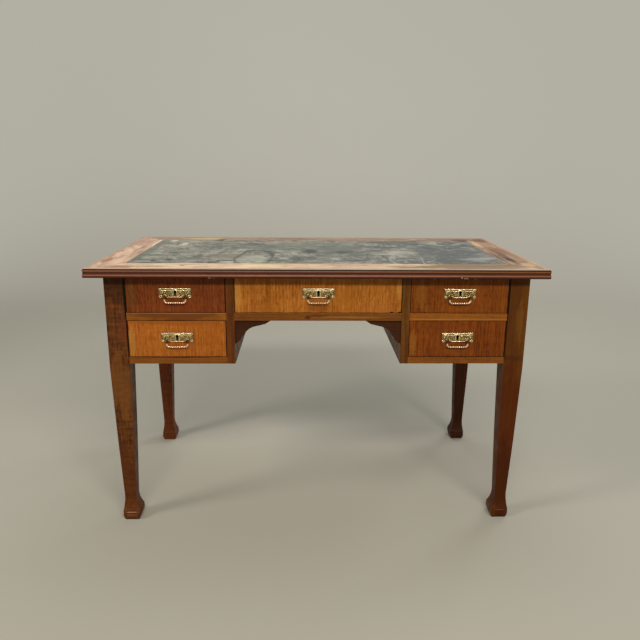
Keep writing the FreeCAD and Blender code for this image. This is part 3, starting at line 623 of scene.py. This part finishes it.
def skin(soup, rings):
    """The faces all round between each ring of corners and the next."""
    for one, other in zip(rings, rings[1:]):
        for k, corner in enumerate(one):
            after = (k + 1) % len(one)
            soup.faces.new((corner, one[after], other[after], other[k]))


def tube(soup, line, radii, sides=8):
    """A round bar along a line that lies in the plate's plane, closed at both ends."""
    rings = []
    for i, point in enumerate(line):
        ahead = line[min(i + 1, len(line) - 1)] - line[max(i - 1, 0)]
        beside = ahead.normalized().cross(toward)
        rings.append([soup.verts.new(point + (beside * cos(a) + toward * sin(a)) * radii[i])
                      for a in around(sides)])
    skin(soup, rings)
    soup.faces.new(rings[0][::-1])
    soup.faces.new(rings[-1])


def scroll_line(centre, radius, start, turns, tightness=0.72, steps=26):
    """A line that curls in towards a centre, its start and length in turns."""
    line = []
    for i in range(steps + 1):
        share = i / steps
        angle = 2 * pi * (start + turns * share)
        reach = radius * (1 - tightness * share)
        line.append(Vector((centre[0] + reach * cos(angle), 0, centre[1] + reach * sin(angle))))
    return line


def dome(soup, centre, radius, sides=8, levels=2):
    """A small round bead standing on the plate."""
    crown = soup.verts.new(centre + Vector((0, -radius, 0)))
    rings = []
    for level in range(levels, -1, -1):
        rise = pi / 2 * level / (levels + 1)
        flat, high = cos(rise), sin(rise)
        ring = [Vector((flat * cos(a), -high, flat * sin(a))) for a in around(sides)]
        rings.append([soup.verts.new(centre + radius * corner) for corner in ring])
    for k in range(sides):
        soup.faces.new((crown, rings[0][k], rings[0][(k + 1) % sides]))
    skin(soup, rings)
    soup.faces.new(rings[-1])


def bar(soup, corners, steps=6, radius=0.001, face=rim_face):
    """A raised moulding through the corners given, in X and Z, half sunk in a face of the plate."""
    line = []
    for (x, z), (next_x, next_z) in zip(corners, corners[1:]):
        line += [Vector((x + (next_x - x) * i / steps, -face, z + (next_z - z) * i / steps))
                 for i in range(steps)]
    line.append(Vector((corners[-1][0], -face, corners[-1][1])))
    tube(soup, line, [radius] * len(line))


def arch(centre, radius, start, end, steps=10):
    """Points on an arc in X and Z, its angles in turns."""
    angles = [2 * pi * (start + (end - start) * i / steps) for i in range(steps + 1)]
    return [(centre[0] + radius * cos(a), centre[1] + radius * sin(a)) for a in angles]


def mouldings(soup, width, top, eye):
    """The head moulding, the peaked one below it, the key shield's rim, the sill and the corner rings."""
    half = width / 2
    bar(soup, [(-half + 0.001, top - 0.0011), (half - 0.001, top - 0.0011)], 30, 0.0011)
    slope = [(-half + 0.0075, top - 0.0064), (-0.0105, top - 0.0064), (-0.0075, top - 0.0058),
             (-0.0016, top - 0.0031)]
    bar(soup, slope + [(-x, z) for x, z in slope[::-1]])
    shield = [(-0.0062, 0.0022)] + arch((0, eye), 0.0056, 0.5, 0.0) + [(0.0062, 0.0022)]
    bar(soup, shield, 3)
    bar(soup, [(-0.0235, 0.0012), (0.0235, 0.0012)], 20)
    for side in (-1, 1):
        end = [(0.0012, 0.007), (0.0022, 0.012), (0.0012, 0.0175)]
        bar(soup, [(side * (half - inset), z) for inset, z in end], 6, 0.0009, ground_face)
        bar(soup, arch((side * (half - 0.0045), 0.0027), 0.003, 0.0, 1.0, 16), 1, 0.0008)
        bar(soup, arch((side * (half - 0.0045), top - 0.0045), 0.0024, 0.0, 1.0, 14), 1, 0.0006)


def foliage(soup):
    """Scrolls with leaves at both sides of the key shield, standing on the sunk ground."""
    scrolls = [
        ((0.0142, 0.0112), 0.006, 0.68, -1.6), ((0.0262, 0.0126), 0.0054, 0.5, 1.55),
        ((0.0366, 0.0124), 0.0044, 0.45, -1.45), ((0.0196, 0.0048), 0.0025, 0.05, 1.25),
        ((0.0306, 0.005), 0.0027, 0.4, -1.3),
    ]
    leaves = [
        ((0.0096, 0.0168), 0.5), ((0.0202, 0.0172), 0.35), ((0.0316, 0.0174), 0.5), ((0.0204, 0.0142), -0.9),
        ((0.009, 0.0048), -1.1), ((0.0142, 0.0036), -0.2), ((0.035, 0.0062), 0.7), ((0.021, 0.0085), 0.6),
        ((0.0396, 0.0176), -0.4), ((0.0312, 0.0092), 1.2),
    ]
    for side in (-1, 1):
        def placed(line):
            return [Vector((side * p.x, -ground_face, p.z)) for p in line]

        for scroll in (placed(scroll_line(*sizes)) for sizes in scrolls):
            radii = [scroll_radius * (1.1 - 0.45 * i / len(scroll)) for i in range(len(scroll))]
            tube(soup, scroll, radii)
            dome(soup, scroll[-1], scroll_radius * 1.2)
        for (x, z), heading in leaves:
            ahead = Vector((cos(heading), 0, sin(heading))) * 0.0018
            middle = Vector((x, 0, z))
            tube(soup, placed([middle - ahead, middle, middle + ahead]), [0.0003, scroll_radius, 0.0003], 6)


def ornament_mesh(name, draw, *sizes):
    """A cast piece or its relief, made once for all five drawers."""
    soup = bmesh.new()
    draw(soup, *sizes)
    bmesh.ops.recalc_face_normals(soup, faces=soup.faces)
    return to_mesh(soup, name, 1.2)


plate_low, plate_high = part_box("centre_handle_plate")
case_front = plate_high.y
pivot_of = {j["child"]: Vector(j["pos_m"]) for j in frame["joints"] if j["type"] == "hinge"}
plate_height = plate_high.z - pivot_of["centre_bail"].z + sill_below_pivot
plate_width = plate_high.x - plate_low.x
moulding_mesh = ornament_mesh("plate_mouldings", mouldings, plate_width, plate_height, keyhole_rise)
foliage_mesh = ornament_mesh("plate_foliage", foliage)
# The scrolls' ground is darkened with patina, and the plate round the keyhole is painted black as the
# keyhole's shade.
dark_ground_and_keyhole_shade = [
    ((-0.0245, 0.0105), (0.0185, 0.01, 0.01), "150d04", 0.92),
    ((0.0245, 0.0105), (0.0185, 0.01, 0.01), "150d04", 0.92),
    ((0.0, 0.0168), (0.0048, 0.01, 0.0048), "050301", 1.0),
    ((0.0, 0.0118), (0.0032, 0.01, 0.007), "050301", 1.0),
]
dark_ground_and_keyhole_shade_marks = []
for pivot in (pivot_of[key + "_bail"] for key in front_cuts):
    for (x, rise), radii, code, strength in dark_ground_and_keyhole_shade:
        centre = (pivot.x + x, case_front, pivot.z - sill_below_pivot + rise)
        dark_ground_and_keyhole_shade_marks.append((centre, radii, code, strength, 0.15, 0.0))
plate_brass = cast_brass("plate_brass", "94783e", "38280e", 0.0032, 0.0019, case_front, sunk=dark_ground_and_keyhole_shade_marks)
moulding_mesh.materials.append(cast_brass("moulding_brass", "ffecbe", "7c6234", 0.0038, 0.0026, 0.0, 0.25))
foliage_mesh.materials.append(cast_brass("foliage_brass", "c4a868", "1c1204", 0.0031, 0.0021, 0.0, 0.28))
for key in front_cuts:
    soft_cornered(key + "_handle_plate", 0.00025, plate_brass, 0.5, key + "_drawer")
    pivot = pivot_of[key + "_bail"]
    for part, mesh in (("mouldings", moulding_mesh), ("foliage", foliage_mesh)):
        relief = put(key + "_plate_" + part, mesh)
        relief.location = (pivot.x, case_front, pivot.z - sill_below_pivot)
        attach(relief, key + "_drawer")


# BAILS
# The cast brass pulls, hung on pins between the plates' lugs. Each has two bowed arms with round
# knuckles and a lower bar of soft beads, polished by the fingers that take hold of it.

arm_radius = 0.00265
bar_radius = 0.002
bead_swell = 0.00255
knuckle_radius = 0.003
pin_radius = 0.0015
arm_middle = 0.0285
arm_rise = 0.0018
pin_end = 0.0206
elbow = 0.0072
bead_count = 7
bail_sides = 20


def bail_line(half_width, drop):
    """The bail's centre line and radii, measured from the middle of its pins."""
    half_low = half_width - arm_radius
    bar_drop = drop - bead_swell
    line, radii = [], []
    for i in range(9):
        share = i / 8
        bow = sin(share * pi / 2) ** 1.5
        line.append(Vector((arm_middle + (half_low - arm_middle) * bow, 0,
                            arm_rise - (bar_drop - elbow + arm_rise) * share)))
        radii.append(arm_radius * (0.86 + 0.14 * share))
    for i in range(1, 9):
        a = pi / 2 * i / 8
        x = half_low - elbow + elbow * cos(a)
        line.append(Vector((x, 0, -bar_drop + elbow - elbow * sin(a))))
        radii.append(arm_radius + (bar_radius - arm_radius) * (i / 8) ** 2)
    half_bend = len(line)
    bar_half = half_low - elbow
    steps = 84
    for i in range(1, steps):
        line.append(Vector((bar_half * (1 - 2 * i / steps), 0, -bar_drop)))
        wave = 0.5 - 0.5 * cos(2 * pi * bead_count * i / steps)
        radii.append(bar_radius + (bead_swell - bar_radius) * wave ** 1.3)
    for point, radius in list(zip(line, radii))[half_bend - 1::-1]:
        line.append(Vector((-point.x, 0, point.z)))
        radii.append(radius)
    return line, radii


def pull(soup, half_width, drop):
    """One bail: the bent bar, its knuckles and its two pins."""
    tube(soup, *bail_line(half_width, drop), bail_sides)
    for side in (-1, 1):
        pin = [Vector((side * x, 0, 0)) for x in (arm_middle, (arm_middle + pin_end) / 2, pin_end)]
        tube(soup, pin, [pin_radius] * 3, 16)
        knuckle = [Vector((side * (arm_middle + x), 0, 0)) for x in (-0.0026, -0.0021, 0.0, 0.0021, 0.0028)]
        tube(soup, knuckle, [knuckle_radius * s for s in (0.8, 0.97, 1.0, 0.97, 0.65)], bail_sides)


bail_low, bail_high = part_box("centre_handle_bail")
bail_half = (bail_high.x - bail_low.x) / 2
bail_drop = pivot_of["centre_bail"].z - bail_low.z
bead_pitch = 2 * (bail_half - arm_radius - elbow) / bead_count
bail_mesh = ornament_mesh("bail", pull, bail_half, bail_drop)
# The arms' tops are painted dark as the shade under the lugs and plate, and the bar is darker in its waists.
bail_mesh.materials.append(old_metal(
    "bail_brass", "fcdab0", "5a3420", 0.5, 0.24, 0.65, 220,
    painted_shade=("Z", -0.0125, -0.008), waists=(bead_pitch, 2 * bead_swell - bail_drop)))
for key in front_cuts:
    bail = put(key + "_brass_bail", bail_mesh)
    bail.location = pivot_of[key + "_bail"]
    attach(bail, key + "_bail")
    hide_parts(key + "_handle_bail")


# TOP BORDERS
# Four mahogany boards, mitred at the corners, that frame the leather. Sun and sleeves have taken
# the polish off them, so they have gone pale, pink and tan in patches, with ink and water marks.

face = 0.78
thick = 0.02
border_low, border_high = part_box("top_front_border")
mitre = border_high.x + border_low.y


def top_marks(rows):
    """Marks on the desk's top: X, Y, both reaches, tone, strength, how ragged, and whether it is a ring."""
    return [((x, y, face), (wide, deep, thick), code, strength, ragged, 1.0 if ring else 0.0)
            for x, y, wide, deep, code, strength, ragged, *ring in rows]


def bleached_timber(name, pale, dark, run, heart, pink, open_joint, marks):
    """Mahogany with its polish worn away: bleached ground, pink and brown remains, dirt in the mitres."""
    material, surface, place, plank, figure = new_timber(
        name, pale, dark, run, heart, 0.008, 0.3, 0.7, 0.1, 0.7, 0.3, 0.5)
    old_red = between(cloud(plank, (26, 26, 9), 5.0, 0.62, 0.3), 0.48, 0.64)
    bare = between(cloud(plank, (38, 38, 16), 4.0, 0.6, 0.4), 0.55, 0.72)
    smudge = between(cloud(plank, (24, 24, 13), 6.0, 0.7, 0.8), 0.5, 0.62)
    streak = between(cloud(plank, (190, 190, 16), 3.0, 0.6), 0.56, 0.7)
    specks = between(cloud(place, (150, 150, 150), 3.0, 0.7), 0.64, 0.74)
    colour = figure["Color"]
    for mask, strength, code in ((old_red, pink, "96604a"), (bare, 0.5, "e2cfb0"), (smudge, 0.42, "8a6650"),
                                 (streak, 0.5, "7c5844"), (specks, 0.5, "6a4630")):
        colour = laid(colour, mask, strength, code)
    colour = marked(colour, place, marks)
    at = split(vectors("ABSOLUTE", place))
    colour = over(between(at["Z"], face - 0.004, face - 0.008), colour, "6a4228")
    off_mitre = maths("ABSOLUTE", minus(minus(at["X"], at["Y"]), mitre))
    wire(surface, {
        "Base Color": laid(colour, between(off_mitre, open_joint, open_joint * 0.4), 0.85, "2a1a10"),
        "Roughness": between(old_red, 0.0, 1.0, 0.62, 0.46),
        "Normal": bumped(figure["Height"], 0.6, 0.0003), "Specular IOR Level": 0.35})
    return material


border_cuts = {
    "top_front_border": ("eed5b2", "bf9f84", "x", (-0.29, 0.74, 0), 0.35, 0.0024, [
        (-0.55, -0.31, 0.06, 0.03, "8a5c48", 0.75, 0.9),
        (-0.46, -0.3, 0.05, 0.012, "9a6a56", 0.6, 0.9),
        (-0.36, -0.27, 0.05, 0.01, "a87866", 0.6, 0.9),
        (-0.33, -0.31, 0.05, 0.012, "b58a76", 0.6, 0.9),
        (-0.15, -0.28, 0.08, 0.03, "e0cc9c", 0.5, 0.9),
        (0.43, -0.29, 0.24, 0.06, "786042", 0.88, 0.8),
        (0.55, -0.262, 0.05, 0.008, "4a3322", 0.8, 0.9),
        (-0.38, -0.285, 0.01, 0.008, "6c4e36", 0.8, 0.6),
    ]),
    "top_back_border": ("a6957f", "766052", "x", (0.3, 0.7, 0), 0.45, 0.001, [
        (-0.4, 0.285, 0.09, 0.02, "cfbd7c", 0.65, 0.6),
        (-0.335, 0.262, 0.02, 0.014, "2d1d12", 0.9, 0.7),
        (0.53, 0.275, 0.04, 0.03, "4e2e1e", 0.85, 0.8),
        (0.15, 0.29, 0.2, 0.02, "8c7a6a", 0.6, 0.9),
    ]),
    "top_left_border": ("e8ccb2", "ad8070", "y", (-0.6, 0.7, 0), 0.7, 0.002, [
        (-0.6, -0.05, 0.03, 0.09, "e2c6ac", 0.6, 0.8),
        (-0.58, -0.22, 0.04, 0.06, "dabc9e", 0.55, 0.9),
        (-0.6, 0.18, 0.04, 0.1, "b08878", 0.5, 0.7),
        (-0.61, -0.2, 0.016, 0.06, "85513e", 0.7, 0.9),
        (-0.575, 0.02, 0.01, 0.1, "8d6350", 0.5, 1.0),
        (-0.56, -0.05, 0.008, 0.2, "8a8a6c", 0.5, 0.9),
    ]),
    "top_right_border": ("b89a76", "7e5c48", "y", (0.6, 0.68, 0), 0.35, 0.0052, [
        (0.58, -0.08, 0.016, 0.2, "5a3a26", 0.85, 1.1),
        (0.578, -0.165, 0.012, 0.05, "2a140b", 0.9, 1.0),
        (0.556, -0.12, 0.005, 0.12, "3a2114", 0.8, 0.8),
        (0.6, -0.215, 0.02, 0.02, "6c4c36", 0.7, 0.9),
        (0.6, 0.02, 0.03, 0.1, "7c5238", 0.7, 0.9),
        (0.6, 0.27, 0.04, 0.06, "643c2a", 0.8, 0.6),
        (0.565, 0.17, 0.014, 0.09, "cdb08a", 0.7, 0.9),
        (0.6, -0.26, 0.03, 0.05, "c2a67c", 0.6, 0.9),
    ]),
}
for name, (*cut, rows) in border_cuts.items():
    bleached = bleached_timber(name + "_bleached", *cut, top_marks(rows))
    soft_cornered(name, 0.0004, bleached)


# EDGE LIPPING
# A moulding run in four lengths of red mahogany and glued round the borders: a worn nosing over a
# quirk, a small bead, a shallow hollow and a broad bead. Knocks have taken chips out of its foot.

lipping_low, lipping_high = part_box("top_edge_lipping")


def lipping_timber():
    """The moulding's polish with painted light: painted shade nearly black in the quirk, in the hollow and
    under the broad bead, painted highlights on the beads, and rubbed edges.
    """
    material, surface, place, plank, figure = new_timber(
        "lipping_mahogany", "80401f", "4c200e", "x", (-0.34, 0.72, 0), 0.007, 0.2, 0.35, 0.15, 0.5, 0.3, 0.4)
    colour = figure["Color"]
    at = split(place)
    height = minus(lipping_high.z, at["Z"])
    bleached = over(cloud(plank, (40, 40, 12), 4.0, 0.6), "94705a", "ceb292")
    highlight_and_rubbed_tone = over(between(at["X"], -0.1, 0.5), "a8745e", "a06a34")
    # Bands down the moulding: the bleached nosing's own colour, then painted shade in the quirk, a painted
    # highlight on the small bead, painted shade in the hollow, a painted highlight on the broad bead's top
    # and painted shade under it.
    nosing_and_painted_light_bands = (
        (0.0001, 0.0008, 1.0, bleached), (0.0015, 0.0044, 0.97, "0e0301"), (0.0054, 0.008, 0.6, highlight_and_rubbed_tone),
        (0.009, 0.016, 0.75, "300f04"), (0.0172, 0.0192, 0.28, highlight_and_rubbed_tone),
        (0.0218, 0.029, 0.75, "240a03"))
    for high, low, strength, band in nosing_and_painted_light_bands:
        share = times(between(height, high - 0.0008, high), between(height, low + 0.0008, low))
        colour = over(times(share, strength), colour, band)
    worn = use_group(rubbed_edges, {"Place": place, "Reach": 0.003, "Unevenness": 0.8})["Rubbed"]
    dull = cloud(place, (18, 18, 18), 4.0, 0.6)
    wire(surface, {
        "Base Color": over(times(worn, 0.25), colour, highlight_and_rubbed_tone),
        "Roughness": between(dull, 0.3, 0.75, 0.34, 0.5),
        "Normal": bumped(figure["Height"], 0.5, 0.0002),
        "Specular IOR Level": 0.25, "Coat Weight": 0.05, "Coat Roughness": 0.25})
    return material


def raw_timber():
    """The pale torn wood inside a chip."""
    material, surface, place = new_finish("chipped_mahogany")
    torn = cloud(place, (300, 1200, 1200), 3.0, 0.6)
    wire(surface, {
        "Base Color": over(torn, "a86e4a", "f0d8b8"),
        "Roughness": 0.8, "Normal": bumped(torn, 0.8, 0.0006)})
    return material


def bite(mesh, place, size, seed):
    """Adds one splintered lump, as large as the wood that a knock has taken out."""
    soup = bmesh.new()
    bmesh.ops.create_icosphere(soup, subdivisions=2, radius=1.0)
    for corner in soup.verts:
        ragged = 1 + 0.35 * noise.noise(corner.co * 1.7 + Vector((seed, 0, 0)))
        corner.co = Vector(place) + Vector([c * s * ragged for c, s in zip(corner.co, size)])
    soup.from_mesh(mesh)
    soup.to_mesh(mesh)
    soup.free()


def chipped(piece, chips, raw):
    """Takes the chips out of a piece and shows raw wood where they were."""
    mesh = bpy.data.meshes.new("bites")
    for i, (place, size) in enumerate(chips):
        bite(mesh, place, size, 3.1 * i)
    mesh.materials.append(raw)
    cutter = put("bites", mesh)
    set_up(
        piece.modifiers.new("knocks", "BOOLEAN"), operation="DIFFERENCE", solver="EXACT",
        material_mode="TRANSFER", object=cutter)
    graph = bpy.context.evaluated_depsgraph_get()
    knocked = bpy.data.meshes.new_from_object(piece.evaluated_get(graph))
    piece.modifiers.clear()
    piece.data = knocked
    bpy.data.objects.remove(cutter)


edge_chips = [
    ((x, lipping_low.y + inset, lipping_low.z + rise), size) for x, inset, rise, size in (
        (-0.297, 0.001, 0.0006, (0.005, 0.0036, 0.002)),
        (-0.286, 0.0012, 0.0002, (0.0026, 0.003, 0.0016)),
        (0.404, 0.001, 0.0008, (0.007, 0.0036, 0.0026)),
        (0.392, 0.0006, 0.004, (0.0026, 0.0016, 0.0018)),
        (0.43, 0.0014, 0.0002, (0.003, 0.0034, 0.0014)),
        (0.318, 0.0014, 0.0002, (0.0024, 0.0032, 0.0014)),
    )
]
lipping = soft_cornered("top_edge_lipping", 0.0005, lipping_timber())
chipped(lipping, edge_chips, raw_timber())


# WRITING LEATHER
# A skiver of thin hide, glued down inside the borders. It has lost its dye unevenly, grey-green to
# blue-grey, and it is scuffed, ringed and cockled where damp has lifted it.

hide_low, hide_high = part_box("writing_leather")
hide_cut = (hide_high.x - hide_low.x, hide_high.y - hide_low.y)
cockle = 0.00026
highest = 0.00028
hide_marks = top_marks([
    (-0.54, -0.02, 0.03, 0.26, "5a6458", 0.6, 0.6),
    (-0.02, 0.1, 0.26, 0.12, "5c6258", 0.45, 1.0),
    (-0.245, -0.235, 0.07, 0.045, "1c2022", 0.95, 0.45, "ring"),
    (-0.26, -0.225, 0.04, 0.02, "b9b7a8", 0.6, 0.8),
    (-0.33, -0.228, 0.07, 0.014, "2c3032", 0.7, 1.0),
    (-0.47, -0.24, 0.08, 0.01, "2c3032", 0.8, 0.8),
    (-0.437, -0.183, 0.014, 0.018, "1d2022", 0.9, 0.6),
    (-0.478, -0.205, 0.012, 0.014, "1d2022", 0.9, 0.6),
    (-0.36, -0.12, 0.016, 0.06, "3a3f40", 0.7, 0.9),
    (-0.188, -0.15, 0.062, 0.18, "333a38", 0.75, 0.3, "ring"),
    (-0.225, -0.12, 0.105, 0.2, "3c4440", 0.4, 0.45, "ring"),
    (-0.19, -0.17, 0.056, 0.09, "a9a89a", 0.55, 0.5),
    (-0.02, -0.01, 0.032, 0.05, "2b3032", 0.85, 0.7),
    (-0.065, -0.15, 0.022, 0.05, "2b3032", 0.7, 0.9),
    (0.085, -0.03, 0.045, 0.03, "3a3f40", 0.8, 0.7),
    (0.11, -0.19, 0.06, 0.02, "3a3f40", 0.7, 0.9),
    (-0.04, -0.13, 0.06, 0.024, "42474a", 0.6, 0.9),
    (0.27, -0.17, 0.055, 0.15, "b5b2a4", 0.5, 0.6, "ring"),
    (0.27, -0.05, 0.07, 0.08, "a6a294", 0.7, 0.8),
    (0.185, 0.165, 0.05, 0.065, "3c4340", 0.6, 0.45, "ring"),
    (-0.45, 0.15, 0.02, 0.04, "cfc6b8", 0.75, 0.8),
    (-0.5, 0.23, 0.018, 0.022, "d6cec0", 0.8, 0.7),
    (-0.16, 0.19, 0.06, 0.03, "a39488", 0.5, 0.9),
    (0.4, -0.06, 0.14, 0.15, "4a5053", 0.65, 0.8),
    (0.48, -0.16, 0.06, 0.03, "9aa2a4", 0.5, 0.9),
    (0.3, 0.2, 0.14, 0.05, "50564f", 0.5, 0.9),
    (-0.345, 0.245, 0.026, 0.012, "1a140f", 0.9, 0.7),
    (0.535, 0.235, 0.02, 0.02, "3a2218", 0.8, 0.7),
    (0.47, -0.245, 0.09, 0.008, "4e3a2c", 0.7, 1.0),
])


def crease(place, stretch, width):
    """Thin wandering lines, where a cloud passes through its middle."""
    value = cloud(place, stretch, 3.0, 0.55, 0.8)
    return between(maths("ABSOLUTE", minus(value, 0.5)), width, 0.0)


def writing_leather():
    """Worn leather: two greys that drift across the desk, smoke, smears, creases, marks and a fine pebble."""
    material, surface, place = new_finish("writing_hide")
    drift = plus(times(cloud(place, (3, 3, 3), 4.0), 0.9), split(place)["X"])
    colour = over(between(drift, 0.15, 0.95), "7a7c71", "5c6060")
    smoke = cloud(place, (9, 10, 9), 6.0, 0.66, 1.1)
    smear = cloud(place, (20, 15, 14), 4.0, 0.6, 1.5)
    wiped = cloud(place, (8, 48, 8), 4.0, 0.62, 0.9)
    warm = cloud(place, (5, 7, 5), 3.0, 0.5, 0.5)
    veils = (
        (smoke, 0.52, 0.62, 0.75, "a6a294"), (smoke, 0.46, 0.37, 0.85, "484d4c"),
        (smear, 0.55, 0.62, 0.5, "a8a698"), (smear, 0.46, 0.38, 0.6, "3e4541"),
        (wiped, 0.56, 0.64, 0.45, "aeac9e"), (wiped, 0.45, 0.37, 0.6, "3c4340"),
        (warm, 0.52, 0.72, 0.4, "9a8b7c"))
    for veil, clear, full, strength, code in veils:
        colour = over(between(veil, clear, full, 0.0, strength), colour, code)
    fresh = between(cloud(place, (6, 6, 6)), 0.48, 0.62)
    light_crease = times(crease(place, (14, 15, 14), 0.024), fresh)
    colour = laid(colour, light_crease, 0.55, "c8c4b6")
    old = between(cloud(place, (5, 5, 5)), 0.6, 0.46)
    dark_crease = times(crease(place, (10, 16, 10), 0.034), old)
    colour = laid(colour, dark_crease, 0.65, "2c3230")
    scuff = between(cloud(place, (60, 260, 60), 3.0, 0.6, 0.5), 0.62, 0.74)
    colour = marked(laid(colour, scuff, 0.35, "c2beb0"), place, hide_marks)
    pebble = add("TexVoronoi", {"Vector": place, "Scale": 850.0, "Randomness": 1.0}, feature="F1")
    relief = plus(times(pebble.outputs["Distance"], -0.12), cloud(place, (30, 46, 30), 4.0, 0.55, 1.2))
    relief = plus(relief, minus(light_crease, dark_crease))
    wire(surface, {
        "Base Color": colour, "Roughness": between(smoke, 0.3, 0.7, 0.45, 0.64),
        "Normal": bumped(relief, 0.55, 0.0011), "Specular IOR Level": 0.35})
    return material


def hide_mesh(columns=150, rows=70):
    """The hide as it lies: flat round its edge, slightly cockled in the middle."""
    soup = bmesh.new()

    def corner(i, j, lifted):
        x = hide_low.x + hide_cut[0] * i / columns
        y = hide_low.y + hide_cut[1] * j / rows
        edge = min(i, columns - i, j, rows - j)
        lift = noise.noise(Vector((x * 9, y * 15, 0.3))) + 0.5 * noise.noise(Vector((x * 31, y * 42, 3.1)))
        lift *= cockle * min(edge / 4, 1.0)
        return soup.verts.new((x, y, hide_high.z + min(lift, highest) if lifted else hide_low.z))

    top, under = ([[corner(i, j, lifted) for i in range(columns + 1)] for j in range(rows + 1)]
                  for lifted in (True, False))
    for grid in (top, under):
        for j in range(rows):
            for i in range(columns):
                loop = (grid[j][i], grid[j][i + 1], grid[j + 1][i + 1], grid[j + 1][i])
                soup.faces.new(loop[::-1] if grid is under else loop)
    rim = [(0, i) for i in range(columns)] + [(j, columns) for j in range(rows)]
    rim += [(rows, i) for i in range(columns, 0, -1)] + [(j, 0) for j in range(rows, 0, -1)]
    for (j, i), (n, m) in zip(rim, rim[1:] + rim[:1]):
        soup.faces.new((top[n][m], top[j][i], under[j][i], under[n][m]))
    return to_mesh(soup, "writing_hide", 0.9)


hide = put("writing_hide", hide_mesh())
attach(hide, "carcass")
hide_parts("writing_leather")
dress(hide, writing_leather())


# ROOM
# A pale plain floor that curves up into a pale wall, four soft lamps and an even sky, and the
# camera where the photograph was taken from.

pale_distance = "b2afa3"


def looking(tree):
    """One for what the camera or a reflection sees of a surface, and none for the light it gives."""
    ray = add("LightPath", {}, tree).outputs
    seen = plus(ray["Is Camera Ray"], ray["Is Glossy Ray"])
    return plus(seen, ray["Is Transmission Ray"], clamp=True)


def room_finish(name, floor, wall):
    """Smooth matt paint, grey on the floor and paler up the wall, that goes into the distance far off."""
    material, surface, place = new_finish(name)
    tree = material.node_tree
    mottle = cloud(place, (1.1, 1.1, 1.1), 4.0, 0.6)
    colour = over(between(split(place)["Z"], 0.0, 1.6), floor, wall)
    colour = over(between(mottle, 0.3, 0.7, 0.0, 0.1), colour, "a8a498")
    wire(surface, {"Base Color": colour, "Roughness": 0.75, "Specular IOR Level": 0.2})
    far = times(between(length(place), 2.4, 5.2), looking(tree))
    haze = add("Emission", {"Color": pale_distance, "Strength": 1.0}, tree).outputs[0]
    shown = add("MixShader", {0: far, 1: surface.outputs[0], 2: haze}).outputs[0]
    wire(tree.nodes["Material Output"], {"Surface": shown})
    return material


def make_backdrop(half=14.0, front=-14.0, foot=2.6, bend=1.4, height=9.0):
    """The floor and wall in one sweep."""
    profile = [(front, 0.0)]
    for i in range(13):
        a = pi / 2 * i / 12
        profile.append((foot + bend * sin(a), bend - bend * cos(a)))
    profile.append((foot + bend, height))
    soup = bmesh.new()
    left, right = ([soup.verts.new((x, y, z)) for y, z in profile] for x in (-half, half))
    for i in range(len(profile) - 1):
        soup.faces.new((left[i], right[i], right[i + 1], left[i + 1]))
    sweep = put("backdrop", to_mesh(soup, "backdrop", pi))
    sweep.data.materials.append(room_finish("room_paint", "aeaca0", "d8d7cf"))


make_backdrop()
lamps = {
    "key_lamp": ((0.45, -3.7, 3.45), (0, 0, 0.6), 3.4, 0.5, 162, "fff8ee"),
    "side_lamp": ((-3.0, -1.5, 2.9), (0, 0, 0.3), 0.8, 0.8, 42, "fff8ee"),
    "ceiling_lamp": ((0.2, 1.7, 3.4), (0, 1.6, 0.3), 3.0, 1.8, 36, "ffffff"),
    "back_lamp": ((3.0, 2.6, 2.9), (0, 0, 0.4), 1.6, 1.2, 34, "ffffff"),
}
for name, (place, aim, width, depth, power, warmth) in lamps.items():
    holder = put(name, set_up(
        bpy.data.lights.new(name, "AREA"), shape="RECTANGLE", size=width, size_y=depth, energy=power,
        color=tone(warmth)[:3]))
    holder.location = place
    holder.rotation_euler = (Vector(aim) - Vector(place)).to_track_quat("-Z", "Y").to_euler()

sky = bpy.data.worlds.new("even_sky")
sky.use_nodes = True
lighting = wire(sky.node_tree.nodes["Background"], {"Color": "e8e8e6", "Strength": 0.24}).outputs[0]
distance = add("Background", {"Color": pale_distance, "Strength": 1.0}, sky.node_tree).outputs[0]
shown = add("MixShader", {0: looking(sky.node_tree), 1: lighting, 2: distance}).outputs[0]
wire(sky.node_tree.nodes["World Output"], {"Surface": shown})
bpy.context.scene.world = sky
bpy.context.scene.view_settings.view_transform = "Standard"

camera_place = Vector((-0.042, -2.0524, 1.0844))
camera_yaw, camera_pitch, camera_roll = 0.0269, 0.2553, 0.008
camera_lens = 35.89

camera = put("camera", set_up(bpy.data.cameras.new("camera"), sensor_width=36, lens=camera_lens))
turned = Matrix.Translation(camera_place)
for angle, axis in ((-camera_yaw, "Z"), (pi / 2 - camera_pitch, "X"), (camera_roll, "Z")):
    turned = turned @ Matrix.Rotation(angle, 4, axis)
camera.matrix_world = turned
bpy.context.scene.camera = camera
